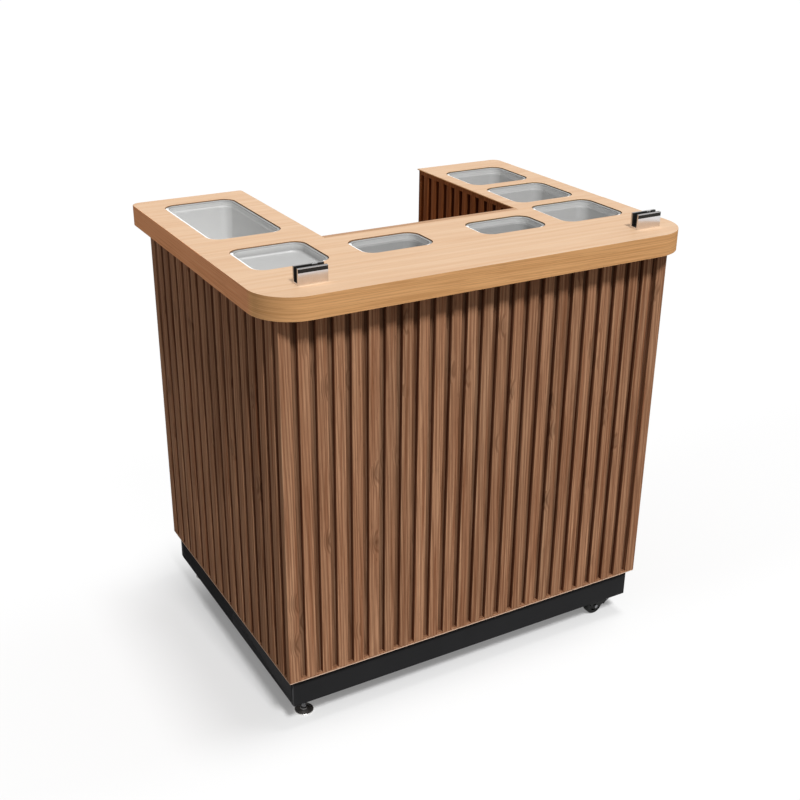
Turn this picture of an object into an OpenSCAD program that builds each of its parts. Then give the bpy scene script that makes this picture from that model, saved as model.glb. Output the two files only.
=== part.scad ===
// U-shaped serving counter for crepes: an oak worktop with seven drop-in pans,
// a fluted walnut casing, a black plinth, two levelling feet and two castors.
// Millimetres. The origin is on the floor under the middle of the worktop.
// Guests stand at -Y; the operator stands in the open bay at +Y.

/* [Worktop] */
// Width of the worktop, left to right
top_w = 1070; // [1040:5:1200]
// Depth of the worktop, front to back
top_d = 820; // [800:5:900]
// Height of the upper face above the floor
top_h = 1060; // [950:5:1100]
// Thickness of the boards
top_t = 50; // [40:1:60]
// Width of the left arm's board
left_arm_w = 290; // [280:1:310]
// Width of the right arm's board
right_arm_w = 260; // [258:1:290]
// Distance from the rear rims of the front row of pans forward to the bay's front edge
seam_in = 10; // [4:1:20]
// Radius of the two front corners
front_r = 95; // [40:5:110]
// Radius of the two rear outer corners
rear_r = 22; // [5:1:35]
// Radius of the left arm's inner rear corner
arm_corner_r = 8; // [3:0.5:9]
// Overhang of the worktop past the casing at the two sides
side_overhang = 40; // [30:1:42]
// Overhang of the worktop past the casing at the front
front_overhang = 42; // [25:1:60]
// Overhang of the worktop past the casing at the rear
rear_overhang = 10; // [4:1:20]
// Thickness of the lip that covers the top of each arm's lining
edge_lip = 3; // [2:0.5:6]

/* [Fluted casing] */
// Width of a groove
groove_w = 16; // [10:1:20]
// Depth of a groove
groove_depth = 12; // [8:1:14]
// Wood left behind a groove
clad_base = 6; // [4:1:8]
// Nominal width of a front slat
slat_w = 24; // [18:1:34]
// Nominal width of a side slat
side_slat_w = 31; // [24:1:40]
// Height of the strip that closes the grooves at the foot
base_strip = 5; // [3:1:12]
// Height of the rail that closes the grooves at the head of a lining
head_rail = 10; // [6:1:20]
// Chamfer along the slats' edges
slat_edge = 0.8; // [0.4:0.1:2]
// Face width of a corner post
post_w = 27; // [22:1:40]
// Side width of a rear corner post
rear_post_d = 26; // [20:1:40]
// Width of the plain stile at the rear end of a lining or of an arm's end board
plain_end = 10; // [6:1:20]
// Drop of the bay lining's top edge below the worktop's face
ledge_drop = 1; // [0.5:0.5:6]

/* [Carcass] */
// Thickness of the carcass panels
panel_t = 12; // [9:1:13]
// Thickness of the decks and the shelf
deck_t = 18; // [15:1:25]
// Drop from the worktop's face to the griddle deck in the bay
bay_drop = 230; // [200:5:300]
// Depth of the rebate round the griddle deck, in which the linings stand
deck_rebate = 2; // [1:0.5:6]
// Clearance between the griddle deck's raised field and the linings
deck_fit = 0.5; // [0.3:0.1:2]
// Height of the storage shelf above the bottom deck
shelf_rise = 320; // [200:10:420]
// Clearance at each side of the storage shelf
shelf_gap = 1; // [0.5:0.5:3]
// Radius of a shelf pin
shelf_pin_r = 2.5; // [2:0.5:4]
// Length of a shelf pin
shelf_pin_len = 18; // [14:1:24]
// Distance from the front panel and from the rear to the shelf pins
shelf_pin_inset = 140; // [60:5:200]
// Width of the screwing cleats
cleat_w = 12; // [8:1:14]
// Height of the screwing cleats
cleat_h = 25; // [15:1:40]
// Gap at the ends of the screwing cleats
cleat_gap = 1; // [0.5:0.5:3]

/* [Plinth] */
// Gap between the floor and the plinth
plinth_gap = 57; // [55:1:65]
// Height of the plinth boards
plinth_h = 75; // [60:1:120]
// Thickness of the plinth boards
plinth_t = 12; // [9:1:15]
// Set-back of the plinth from the casing's face
plinth_inset = 13; // [5:1:18]

/* [Pans] */
// Rim width of every pan
pan_w = 176; // [174:1:178]
// Rim length of the third-size pan
third_d = 325; // [300:1:330]
// Rim length of a sixth-size pan
sixth_d = 162; // [150:1:165]
// Rim length of a ninth-size pan
ninth_d = 108; // [104:1:112]
// Depth of the third-size pan
third_depth = 150; // [65:5:150]
// Depth of the deep sixth-size pans
sixth_depth = 100; // [65:5:150]
// Depth of the ninth-size pans
ninth_depth = 65; // [60:5:100]
// Depth of the shallow tray
tray_depth = 20; // [18:1:30]
// Thickness of the sheet
sheet_t = 0.8; // [0.6:0.1:1.2]
// Width of the flat rim
rim_w = 6; // [5:0.5:12]
// Corner radius of the rim
rim_r = 30; // [24:1:36]
// Height of the rolled edge round the rim
rim_roll = 2.4; // [1.8:0.1:4]
// Radius of the bend between the rim and the wall
rim_bend = 2; // [1.2:0.1:3]
// Depth of the rim's upper face below the wood
rim_drop = 2; // [0:0.5:4]
// Gap between a rim and the edge of its recess
rim_gap = 1; // [0.5:0.1:2]
// Gap between a pan's wall and its cut-out
wall_gap = 1.4; // [1:0.1:3]
// Depth of the stacking shoulder below the rim
shoulder_z = 14; // [10:1:20]
// Width of the stacking shoulder
shoulder_w = 2.8; // [1.5:0.1:5]
// Slope of the walls, in degrees
wall_slope = 2.5; // [1:0.5:4]
// Radius between a deep pan's wall and floor
floor_r = 14; // [8:1:20]
// Radius between the tray's wall and floor
tray_floor_r = 5; // [3:1:8]
// Distance from the worktop's left edge to the left pans' rims
left_inset = 59; // [57:1:64]
// Distance from the worktop's right edge to the right pans' rims
right_inset = 49; // [47:1:50]
// Room between the left arm's pans and the bay; the arm's free width is shared in these proportions
left_bay_room = 55; // [50:1:58]
// Room between the right arm's pans and the bay
right_bay_room = 35; // [33:1:38]
// Room in front of the front pans; the depth left free by the pans is shared in these proportions
front_inset = 186; // [170:1:200]
// Room behind the last pan of the right arm
right_rear_inset = 76; // [66:1:90]
// Room behind the third-size pan
left_rear_inset = 62; // [56:1:70]
// Room between the tray and the third-size pan
left_gap = 85; // [75:1:95]
// Room between neighbouring pans of the right arm
right_gap = 36; // [30:1:42]
// Gap between the tray and the first ninth-size pan
first_gap = 79; // [60:1:95]
// Gap between the second ninth-size pan and the right corner pan
second_gap = 51; // [50:1:70]

/* [Glass clamps] */
// Length of a clamp
clamp_len = 66; // [50:1:90]
// Depth of a clamp, front to back
clamp_d = 25; // [22:0.5:35]
// Height of a clamp
clamp_h = 35; // [28:1:45]
// Thickness of the clamp's jaws
jaw_t = 4; // [3:0.5:5]
// Thickness of the clamp's base
clamp_base_t = 4; // [4:0.5:8]
// Thickness of the rubber lining
gasket_t = 3; // [1.5:0.5:3.5]
// Length of the steel pressure pad behind the glass
press_len = 12; // [8:1:16]
// Shift of the pressure pad from the clamp's middle
press_shift = 13; // [8:1:16]
// Height of the black grip strip let into the front jaw
strip_h = 8; // [5:0.5:12]
// Drop of the grip strip below the top of the jaw
strip_drop = 1.5; // [1:0.5:4]
// Depth of the groove that holds the grip strip
strip_t = 0.8; // [0.5:0.1:1.5]
// Distance from the worktop's front edge to the clamps' faces
clamp_front = 62; // [50:1:100]
// Distance from the worktop's left edge to the left clamp's middle
left_clamp_in = 129; // [120:1:200]
// Distance from the worktop's right edge to the right clamp's middle
right_clamp_in = 88; // [70:1:130]
// Distance between the two base screws of a clamp
base_screw_gap = 33; // [20:1:38]
// Radius of the clamps' base screws
base_screw_r = 2.5; // [2:0.25:3]
// Length of the clamps' base screws in the wood
base_screw_len = 22; // [15:1:30]
// Radius of the clamps' grub screws
grub_r = 3; // [2:0.5:4]
// Height of the grub screws above the worktop
grub_z = 21; // [14:1:22]
// Depth of the socket in a grub screw's end
socket_d = 2.5; // [1:0.5:3]

/* [Levelling feet] */
// Radius of a foot's pad
pad_r = 23; // [15:1:24]
// Height of a foot's pad
pad_h = 9; // [7:0.5:12]
// Radius of a foot's threaded stem
stem_r = 5; // [4:0.5:6]
// Length of the stem above the pad
stem_len = 98; // [90:1:99]
// Distance from the plinth's faces to the middle of a foot
foot_inset = 45; // [36:1:60]
// Outer radius of the threaded insert
insert_r = 8; // [7:0.5:10]
// Length of the threaded insert
insert_len = 26; // [20:1:40]
// Running clearance of a shaft in its hole
run_gap = 0.05; // [0.02:0.01:0.1]
// Side of the square block that holds a foot or a castor
block_w = 62; // [60:1:70]

/* [Castors] */
// Radius of a wheel
wheel_r = 25; // [22:0.5:27]
// Width of a wheel
wheel_w = 20; // [16:1:24]
// Radius of a wheel's hub under the tyre
hub_r = 18.5; // [15:0.5:20]
// Height of a castor from the floor to its plate's upper face
castor_h = 72; // [70:1:80]
// Offset of the wheel's axle from the swivel axis
trail = 20; // [14:1:24]
// Side of the square mounting plate
plate_w = 50; // [46:1:52]
// Thickness of the pressed steel
plate_t = 2.5; // [2:0.25:3.5]
// Side of the square on which the plate's holes lie
hole_pitch = 37; // [34:1:38]
// Radius of the plate's holes
hole_r = 2.75; // [2.25:0.25:3.25]
// Radius of the swivel pin
king_r = 4; // [3:0.5:5]
// Radius of the wheel's axle
axle_r = 3; // [2:0.5:4]
// Radius of the brake lever's pin
lever_pin_r = 2; // [1.5:0.25:2.5]
// Gap between the wheel and each cheek of the fork
cheek_gap = 1.5; // [1:0.5:3]
// Distance from the axle to the brake lever's pin, along the floor
lever_x = 38; // [36:1:42]
// Height of the brake lever's pin above the floor
lever_z = 38; // [36:1:40]
// Gap between the released brake shoe and the tyre
brake_gap = 4; // [3:0.5:5]
// Length of the brake pedal beyond the lever's pin
pedal_reach = 25; // [20:1:28]
// Drop of the brake pedal below the plinth's lower edge
pedal_drop = 3; // [2:0.5:5]
// Distance from the plinth's front and rear faces to a castor's swivel axis
castor_inset_y = 38; // [38:1:80]
// Distance from the plinth's right face to a castor's swivel axis
castor_inset_x = 92; // [90:1:160]

/* [Hidden] */
$fn = 48;

// Colours
oak = [0.90, 0.75, 0.56];
walnut = [0.55, 0.38, 0.27];
birch = [0.83, 0.74, 0.60];
charcoal = [0.13, 0.13, 0.14];
steel = [0.78, 0.79, 0.80];
chrome = [0.86, 0.86, 0.88];
rubber = [0.05, 0.05, 0.05];
black = [0.09, 0.09, 0.10];

// Outline of the worktop and of the casing
left_x = -top_w / 2;
right_x = top_w / 2;
front_y = -top_d / 2;
rear_y = top_d / 2;
bay_left = left_x + left_arm_w;
bay_right = right_x - right_arm_w;
case_left = left_x + side_overhang;
case_right = right_x - side_overhang;
case_front = front_y + front_overhang;
case_rear = rear_y - rear_overhang;
clad_t = clad_base + groove_depth;
in_left = case_left + clad_t;
in_right = case_right - clad_t;
in_front = case_front + clad_t;
in_rear = case_rear - clad_t;
back = 1;

// Levels
board_z = top_h - top_t;
case_z = plinth_gap + plinth_h;
floor_z = case_z + deck_t;
bay_z = top_h - bay_drop;
lining_z = bay_z - deck_rebate;
shelf_z = floor_z + shelf_rise;
block_z = castor_h;

// Rows of pans: what the pans leave of the depth is shared among the rooms round them
right_free = top_d - 3 * sixth_d;
right_share = right_free / (front_inset + 2 * right_gap + right_rear_inset);
rim_front = front_y + front_inset * right_share;
rim_back = rim_front + sixth_d;
left_free = rear_y - rim_back - third_d;
left_share = left_free / (left_gap + left_rear_inset);
bay_front = rim_back - seam_in;

// Panels round the bay: the lining shows in the bay, the partition is behind it
part_left = bay_left - clad_t;
part_right = bay_right + clad_t;
ledge_y = bay_front + clad_t;

// Pans: middle x, middle y, rim length, depth, floor radius
left_side_share = (left_arm_w - pan_w) / (left_inset + left_bay_room);
right_side_share = (right_arm_w - pan_w) / (right_inset + right_bay_room);
left_pan_x = left_x + left_inset * left_side_share + pan_w / 2;
right_pan_x = right_x - right_inset * right_side_share - pan_w / 2;
corner_pan_y = rim_front + sixth_d / 2;
ninth_left_x = left_pan_x + pan_w + first_gap;
ninth_right_x = right_pan_x - pan_w - second_gap;
ninth_y = rim_front + ninth_d / 2;
third_y = rim_back + left_gap * left_share + third_d / 2;
row_step = sixth_d + right_gap * right_share;
wall_in = rim_w - sheet_t - wall_gap;
third = [left_pan_x, third_y, third_d, third_depth, floor_r];
tray = [left_pan_x, corner_pan_y, sixth_d, tray_depth, tray_floor_r];
ninth_left = [ninth_left_x, ninth_y, ninth_d, ninth_depth, floor_r];
ninth_right = [ninth_right_x, ninth_y, ninth_d, ninth_depth, floor_r];
sixth_front = [right_pan_x, corner_pan_y, sixth_d, sixth_depth, floor_r];
sixth_middle = [right_pan_x, corner_pan_y + row_step, sixth_d, sixth_depth, floor_r];
sixth_rear = [right_pan_x, corner_pan_y + 2 * row_step, sixth_d, sixth_depth, floor_r];

// Feet and castors
plinth_left_x = case_left + plinth_inset;
plinth_right_x = case_right - plinth_inset;
plinth_front_y = case_front + plinth_inset;
plinth_rear_y = case_rear - plinth_inset;
foot_x = plinth_left_x + foot_inset;
foot_front_y = plinth_front_y + foot_inset;
foot_rear_y = plinth_rear_y - foot_inset;
castor_x = plinth_right_x - castor_inset_x;
castor_front_y = plinth_front_y + castor_inset_y;
castor_rear_y = plinth_rear_y - castor_inset_y;

// Middle of each clamp's front face, at its foot
left_clamp_x = left_x + left_clamp_in;
right_clamp_x = right_x - right_clamp_in;
clamp_y = front_y + clamp_front;
clamps = [[left_clamp_x, clamp_y, top_h], [right_clamp_x, clamp_y, top_h]];

// A box between two corners
module block(low, high) {
    translate(low) cube(high - low);
}

// What a corner radius takes away from a square corner at the origin
module corner_waste(r) {
    difference() {
        translate([-back, -back]) square(r + back);
        translate([r, r]) circle(r);
    }
}

// Rectangle with its own radius at each corner, from the front left one round to the rear left one
module soft_rect(low, high, radii) {
    corners = [low, [high[0], low[1]], high, [low[0], high[1]]];
    difference() {
        translate(low) square(high - low);
        for (i = [0:3])
            if (radii[i] > 0) translate(corners[i]) rotate(90 * i) corner_waste(radii[i]);
    }
}

// Centred rectangle with equal corners
module soft_square(w, d, r) {
    soft_rect([-w / 2, -d / 2], [w / 2, d / 2], [r, r, r, r]);
}

// Recess and cut-out that hold one pan
module pan_cut(p) {
    seat = rim_drop + rim_roll;
    translate([p[0], p[1], top_h - seat])
        linear_extrude(seat + back)
            soft_square(pan_w + 2 * rim_gap, p[2] + 2 * rim_gap, rim_r + rim_gap);
    translate([p[0], p[1], board_z - back])
        linear_extrude(top_t)
            soft_square(pan_w - 2 * wall_in, p[2] - 2 * wall_in, rim_r - wall_in / 2);
}

module board(low, high, radii) {
    translate([0, 0, board_z]) linear_extrude(top_t) soft_rect(low, high, radii);
}

// Rebate under the lip, where the head of an arm's lining goes
module lining_rebate(x0, x1) {
    block([x0, ledge_y, board_z - back], [x1, rear_y + back, top_h - edge_lip]);
}

module clamp_pilots(at) {
    for (s = [-1, 1])
        translate(at + [s * base_screw_gap / 2, clamp_d / 2, -base_screw_len])
            cylinder(r = base_screw_r, h = base_screw_len + back);
}

// The front board runs the whole width, and the arms' boards butt against its rear edge
module worktop_front() {
    color(oak) difference() {
        board([left_x, front_y], [right_x, bay_front], [front_r, front_r, 0, 0]);
        for (p = [tray, ninth_left, ninth_right, sixth_front]) pan_cut(p);
        for (at = clamps) clamp_pilots(at);
    }
}

module worktop_left() {
    color(oak) difference() {
        board([left_x, bay_front], [bay_left, rear_y], [0, 0, arm_corner_r, rear_r]);
        pan_cut(third);
        pan_cut(tray);
        lining_rebate(part_left, bay_left + back);
    }
}

module worktop_right() {
    color(oak) difference() {
        board([bay_right, bay_front], [right_x, rear_y], [0, 0, rear_r, 0]);
        for (p = [sixth_front, sixth_middle, sixth_rear]) pan_cut(p);
        lining_rebate(bay_right - back, part_right);
    }
}

// Section of a fluted board: face on y = 0, back on y = clad_t, slats between grooves.
// A whole number of slats fills the length, so their width is close to the nominal one.
function slat_count(l, nominal) = max(1, round((l - groove_w) / (nominal + groove_w)));
function slat_true(l, n) = (l - (n + 1) * groove_w) / n;
function flute_points(l, n, w) = concat(
    [[0, clad_t], [0, groove_depth]],
    [for (i = [0:n - 1], c = [
        [0, groove_depth], [0, slat_edge], [slat_edge, 0],
        [w - slat_edge, 0], [w, slat_edge], [w, groove_depth]
    ]) [groove_w + i * (w + groove_w) + c[0], c[1]]],
    [[l, groove_depth], [l, clad_t]]
);

// Fluted board along +X with its face towards -Y
module fluted(l, h, nominal, rail) {
    n = slat_count(l, nominal);
    linear_extrude(h) polygon(flute_points(l, n, slat_true(l, n)));
    cube([l, clad_t, base_strip]);
    if (rail > 0) translate([0, 0, h - rail]) cube([l, clad_t, rail]);
}

case_h = board_z - case_z;
side_l = in_rear - in_front + clad_t - rear_post_d;
front_l = case_right - case_left - 2 * post_w;

module cladding_front() {
    color(walnut) translate([case_left + post_w, case_front, case_z])
        fluted(front_l, case_h, slat_w, 0);
}

module cladding_left() {
    color(walnut) translate([case_left, in_front + side_l, case_z]) rotate(-90)
        fluted(side_l, case_h, side_slat_w, 0);
}

module cladding_right() {
    color(walnut) translate([case_right, in_front, case_z]) rotate(90)
        fluted(side_l, case_h, side_slat_w, 0);
}

// The arms' rear ends: a board from a corner post to a plain stile beside the bay
module end_board(x0, x1) {
    translate([x1, case_rear, case_z]) rotate(180) {
        translate([plain_end, 0, 0]) fluted(x1 - x0 - plain_end, case_h, slat_w, 0);
        cube([plain_end, clad_t, case_h]);
    }
}

module cladding_rear() {
    color(walnut) {
        end_board(case_left + post_w, part_left);
        mirror([1, 0, 0]) end_board(post_w - case_right, -part_right);
    }
}

// Front posts are plain; a rear post is an angle that covers both boards' ends
module front_post() {
    linear_extrude(case_h) soft_rect([0, 0], [post_w, clad_t], [slat_edge, 0, 0, 0]);
}

module rear_post() {
    linear_extrude(case_h) union() {
        soft_rect([0, -clad_t], [post_w, 0], [0, 0, 0, slat_edge]);
        translate([0, -rear_post_d]) square([clad_t, rear_post_d - clad_t]);
    }
}

module corner_posts() {
    color(walnut) {
        translate([case_left, case_front, case_z]) front_post();
        translate([case_right, case_front, case_z]) mirror([1, 0, 0]) front_post();
        translate([case_left, case_rear, case_z]) rear_post();
        translate([case_right, case_rear, case_z]) mirror([1, 0, 0]) rear_post();
    }
}

// Linings of the bay: they stand in the griddle deck's rebate
lining_l = case_rear - ledge_y;
lining_h = top_h - edge_lip - lining_z;

module lining_board() {
    fluted(lining_l - plain_end, lining_h, slat_w, head_rail);
    translate([-plain_end, 0, 0]) cube([plain_end, clad_t, lining_h]);
}

// The left lining faces +X and the right one faces -X; both have their plain end at the rear
module lining_left() {
    color(walnut) translate([bay_left, 0, lining_z]) mirror([1, 0, 0])
        translate([0, case_rear - plain_end, 0]) rotate(-90) lining_board();
}

module lining_right() {
    color(walnut) translate([bay_right, case_rear - plain_end, lining_z]) rotate(-90) lining_board();
}

module lining_front() {
    color(walnut) translate([bay_right, ledge_y, lining_z]) rotate(180)
        fluted(bay_right - bay_left, top_h - ledge_drop - lining_z, slat_w, head_rail);
}

// Carcass
module carcass_front() {
    color(birch) block([in_left, in_front, floor_z], [in_right, in_front + panel_t, board_z]);
}

// Side panel with a notch under the worktop that clears the pans
notch_z = board_z - third_depth;
notch_front = rim_front - groove_w;
notch_rear = in_rear - panel_t - groove_w;
side_front = in_front + panel_t;
module side_panel() {
    rotate([90, 0, 90]) linear_extrude(panel_t)
        polygon([
            [side_front, floor_z], [in_rear, floor_z], [in_rear, board_z], [notch_rear, board_z],
            [notch_rear, notch_z], [notch_front, notch_z], [notch_front, board_z],
            [side_front, board_z]
        ]);
}

module carcass_left() {
    color(birch) translate([in_left, 0, 0]) side_panel();
}

module carcass_right() {
    color(birch) translate([in_right - panel_t, 0, 0]) side_panel();
}

// End panels behind the arms' rear boards
module carcass_ends() {
    end_y = in_rear - panel_t;
    color(birch) {
        block([in_left + panel_t, end_y, floor_z], [part_left - panel_t, in_rear, board_z]);
        block([part_right + panel_t, end_y, floor_z], [in_right - panel_t, in_rear, board_z]);
    }
}

// Shelf pins: two in each partition
pin_ys = [side_front + shelf_pin_inset, in_rear - shelf_pin_inset];
pin_z = shelf_z - shelf_pin_r;
module pin_bores(x) {
    for (y = pin_ys)
        translate([x - back, y, pin_z]) rotate([0, 90, 0])
            cylinder(r = shelf_pin_r, h = panel_t + 2 * back);
}

// Partitions: the sides of the storage space, and what the linings are fixed to
module partition_left() {
    color(walnut) difference() {
        block([part_left - panel_t, side_front, floor_z], [part_left, in_rear, board_z]);
        pin_bores(part_left - panel_t);
    }
}

module partition_right() {
    color(walnut) difference() {
        block([part_right, side_front, floor_z], [part_right + panel_t, in_rear, board_z]);
        pin_bores(part_right);
    }
}

module bay_back() {
    color(birch) block([part_left, bay_front - panel_t, lining_z], [part_right, bay_front, board_z]);
}

// Griddle deck: its raised field fills the bay between the linings
module bay_deck() {
    color(walnut) union() {
        block([part_left, side_front, bay_z - deck_t], [part_right, case_rear, lining_z]);
        block([bay_left + deck_fit, ledge_y + deck_fit, lining_z - back],
            [bay_right - deck_fit, case_rear, bay_z]);
    }
}

module bottom_deck() {
    color(walnut) union() {
        block([in_left, in_front, case_z], [in_right, in_rear, floor_z]);
        block([part_left, in_rear - back, case_z], [part_right, case_rear, floor_z]);
    }
}

module storage_shelf() {
    color(walnut) block(
        [part_left + shelf_gap, side_front + shelf_gap, shelf_z],
        [part_right - shelf_gap, in_rear, shelf_z + deck_t]);
}

module shelf_pins() {
    pin_out = shelf_pin_len - panel_t;
    color(steel)
        for (y = pin_ys) {
            translate([part_left - panel_t, y, pin_z]) rotate([0, 90, 0])
                cylinder(r = shelf_pin_r, h = shelf_pin_len);
            translate([part_right - pin_out, y, pin_z]) rotate([0, 90, 0])
                cylinder(r = shelf_pin_r, h = shelf_pin_len);
        }
}

// Cleats under the worktop, along the front panel and the partitions, and under the griddle deck
module cleats() {
    deck_low = bay_z - deck_t;
    top_low = board_z - cleat_h;
    front_end = side_front + cleat_w;
    rear_end = in_rear - panel_t - cleat_gap;
    outer_left = part_left - panel_t;
    outer_right = part_right + panel_t;
    spans = [[in_left + panel_t, outer_left], [part_left, part_right], [outer_right, in_right - panel_t]];
    color(birch) {
        for (x = spans)
            block([x[0] + cleat_gap, side_front, top_low], [x[1] - cleat_gap, front_end, board_z]);
        for (x = [outer_left - cleat_w, outer_right])
            block([x, front_end + cleat_gap, top_low], [x + cleat_w, rear_end, board_z]);
        for (x = [part_left, part_right - cleat_w])
            block([x, side_front + cleat_gap, deck_low - cleat_h], [x + cleat_w, rear_end, deck_low]);
    }
}

// Plinth: the front and rear boards cover the ends of the side boards
module plinth_front() {
    color(charcoal) block([plinth_left_x, plinth_front_y, plinth_gap],
        [plinth_right_x, plinth_front_y + plinth_t, case_z]);
}

module plinth_rear() {
    color(charcoal) block([plinth_left_x, plinth_rear_y - plinth_t, plinth_gap],
        [plinth_right_x, plinth_rear_y, case_z]);
}

module plinth_side(x) {
    block([x, plinth_front_y + plinth_t, plinth_gap], [x + plinth_t, plinth_rear_y - plinth_t, case_z]);
}

module plinth_left() {
    color(charcoal) plinth_side(plinth_left_x);
}

module plinth_right() {
    color(charcoal) plinth_side(plinth_right_x - plinth_t);
}

// Drawn pans. A pan is a loft through rounded rectangles. Its section runs from the inner
// floor up the wall, over the stacking shoulder and the rim, and back down outside.
// A section point is [distance in from the rim's edge, height above the rim].
corner_steps = 5;
ring_size = 4 * (corner_steps + 1);
roll_edge = 0.6;
roll_lip = 2;

// A ring's corner is sharper the further in it lies, as in a real drawn pan
corner_fall = 0.45;
function ring_points(w, d, inset, z) =
    let (r = rim_r - corner_fall * inset, hx = w / 2 - inset - r, hy = d / 2 - inset - r)
    [for (q = [0:3], j = [0:corner_steps])
        let (a = 90 * q + 90 * j / corner_steps, sx = q == 0 || q == 3 ? 1 : -1, sy = q < 2 ? 1 : -1)
        [sx * hx + r * cos(a), sy * hy + r * sin(a), z]];

// Inset of the inner wall at a height
function wall_inset(z, step) = rim_w + step + max(0, -z - shoulder_z) * tan(wall_slope);

// Quarter turns with a radius of their own: rim to wall, and wall to floor
turn = [0, 1, 2, 3, 4];
function rim_turn(r) = [for (i = turn) let (a = 90 * i / 4)
    [rim_w - rim_bend + r * sin(a), -rim_bend + r * cos(a)]];
function floor_turn(depth, inner_r, step, r) =
    let (top = inner_r - depth, in = wall_inset(top, step) + inner_r)
    [for (i = turn) let (a = 90 * i / 4) [in - r * sin(a), top - r * cos(a)]];
function shoulder(step, t) =
    step == 0 ? [] : [[rim_w + step - t, -shoulder_z - step], [rim_w - t, -shoulder_z]];
function backwards(list) = [for (i = [len(list) - 1:-1:0]) list[i]];

// The shallow tray has no room for a shoulder
function pan_section(depth, r) =
    let (step = depth > shoulder_z + r + shoulder_w ? shoulder_w : 0)
    concat(
        floor_turn(depth, r, step, r),
        shoulder(step, 0),
        backwards(rim_turn(rim_bend)),
        [[roll_edge, 0], [0, -roll_edge], [0, -rim_roll], [roll_lip, -rim_roll], [roll_lip, -sheet_t]],
        rim_turn(rim_bend - sheet_t),
        backwards(shoulder(step, sheet_t)),
        backwards(floor_turn(depth, r, step, r + sheet_t))
    );

module pan(p) {
    section = pan_section(p[3], p[4]);
    rings = len(section);
    points = [for (s = section, q = ring_points(pan_w, p[2], s[0], s[1])) q];
    skin = [for (i = [0:rings - 2], j = [0:ring_size - 1], k = [0, 1])
        let (a = i * ring_size + j, b = i * ring_size + (j + 1) % ring_size)
        k == 0 ? [a, b, b + ring_size] : [a, b + ring_size, a + ring_size]];
    inner = [for (j = [ring_size - 1:-1:0]) j];
    outer = [for (j = [0:ring_size - 1]) (rings - 1) * ring_size + j];
    color(steel) translate([p[0], p[1], top_h - rim_drop])
        polyhedron(points, concat(skin, [inner, outer]));
}

// Glass clamps: a U channel along X with its front face on y = 0 and its foot on the worktop
slot_d = clamp_d - 2 * jaw_t;
pad_rear = clamp_d - jaw_t;
pad_front = pad_rear - gasket_t;
strip_z = clamp_h - strip_drop - strip_h;
module at_base_screws() {
    for (s = [-1, 1]) translate([s * base_screw_gap / 2, clamp_d / 2, 0]) children();
}

module clamp_body() {
    long = clamp_len + 2 * back;
    difference() {
        translate([-clamp_len / 2, 0, 0]) cube([clamp_len, clamp_d, clamp_h]);
        translate([-long / 2, jaw_t, clamp_base_t]) cube([long, slot_d, clamp_h]);
        translate([-long / 2, -back, strip_z]) cube([long, strip_t + back, strip_h]);
        translate([press_shift, pad_rear - back, grub_z]) rotate([-90, 0, 0])
            cylinder(r = grub_r + run_gap, h = jaw_t + 2 * back);
        at_base_screws() translate([0, 0, -back]) cylinder(r = base_screw_r, h = clamp_base_t + 2 * back);
    }
}

module clamp_left() {
    color(chrome) translate(clamps[0]) clamp_body();
}

module clamp_right() {
    color(chrome) translate(clamps[1]) clamp_body();
}

// Rubber: a front pad, two rear pads beside the pressure pad, and the grip strip
pad_gap = 0.3;
module gasket() {
    edge = clamp_len / 2;
    half = press_len / 2 + pad_gap;
    block([-edge, jaw_t, clamp_base_t], [edge, jaw_t + gasket_t, clamp_h]);
    block([-edge, pad_front, clamp_base_t], [press_shift - half, pad_rear, clamp_h]);
    block([press_shift + half, pad_front, clamp_base_t], [edge, pad_rear, clamp_h]);
    block([-edge, 0, strip_z], [edge, strip_t, strip_z + strip_h]);
}

module clamp_gaskets() {
    color(rubber) for (at = clamps) translate(at) gasket();
}

// Base screws with flat heads in the slot
screw_head_h = 2;
head_ratio = 1.7;
module clamp_screws() {
    color(steel) for (at = clamps) translate(at) at_base_screws() {
        translate([0, 0, -base_screw_len])
            cylinder(r = base_screw_r, h = base_screw_len + clamp_base_t + screw_head_h);
        translate([0, 0, clamp_base_t]) cylinder(r = base_screw_r * head_ratio, h = screw_head_h);
    }
}

// Pressure pad on its grub screw, which has a hexagon socket in its outer end
module clamp_press() {
    color(steel) difference() {
        union() {
            block([press_shift - press_len / 2, pad_front, clamp_base_t + screw_head_h + pad_gap],
                [press_shift + press_len / 2, pad_rear - pad_gap, clamp_h]);
            translate([press_shift, pad_front, grub_z]) rotate([-90, 0, 0])
                cylinder(r = grub_r, h = clamp_d - pad_front);
        }
        translate([press_shift, clamp_d - socket_d, grub_z]) rotate([-90, 0, 0])
            cylinder(r = grub_r / 2, h = socket_d + back, $fn = 6);
    }
}

// Levelling feet
module at_feet() {
    for (y = [foot_front_y, foot_rear_y]) translate([foot_x, y, 0]) children();
}

block_half = block_w / 2;
foot_block_in = min(block_half, foot_inset - plinth_t);
module foot_blocks() {
    color(birch) at_feet() difference() {
        block([-foot_block_in, -foot_block_in, block_z], [foot_block_in, foot_block_in, case_z]);
        translate([0, 0, block_z - back]) cylinder(r = insert_r, h = case_z - block_z + back);
    }
}

module foot_inserts() {
    color(steel) at_feet() translate([0, 0, block_z]) difference() {
        cylinder(r = insert_r, h = insert_len);
        translate([0, 0, -back]) cylinder(r = stem_r + run_gap, h = insert_len + 2 * back);
    }
}

// Pad turned from one section: a thick edge, a flat cone and a collar round the stem's ball
collar_r = stem_r + 3;
collar_h = 2.6;
pad_edge = 3.2;
pad_break = 0.8;
module foot_pad() {
    color(chrome) rotate_extrude()
        polygon([
            [0, 0], [pad_r - pad_break, 0], [pad_r, pad_break],
            [pad_r, pad_edge - pad_break], [pad_r - pad_break, pad_edge],
            [collar_r, pad_h - collar_h], [collar_r, pad_h], [0, pad_h]
        ]);
}

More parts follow.
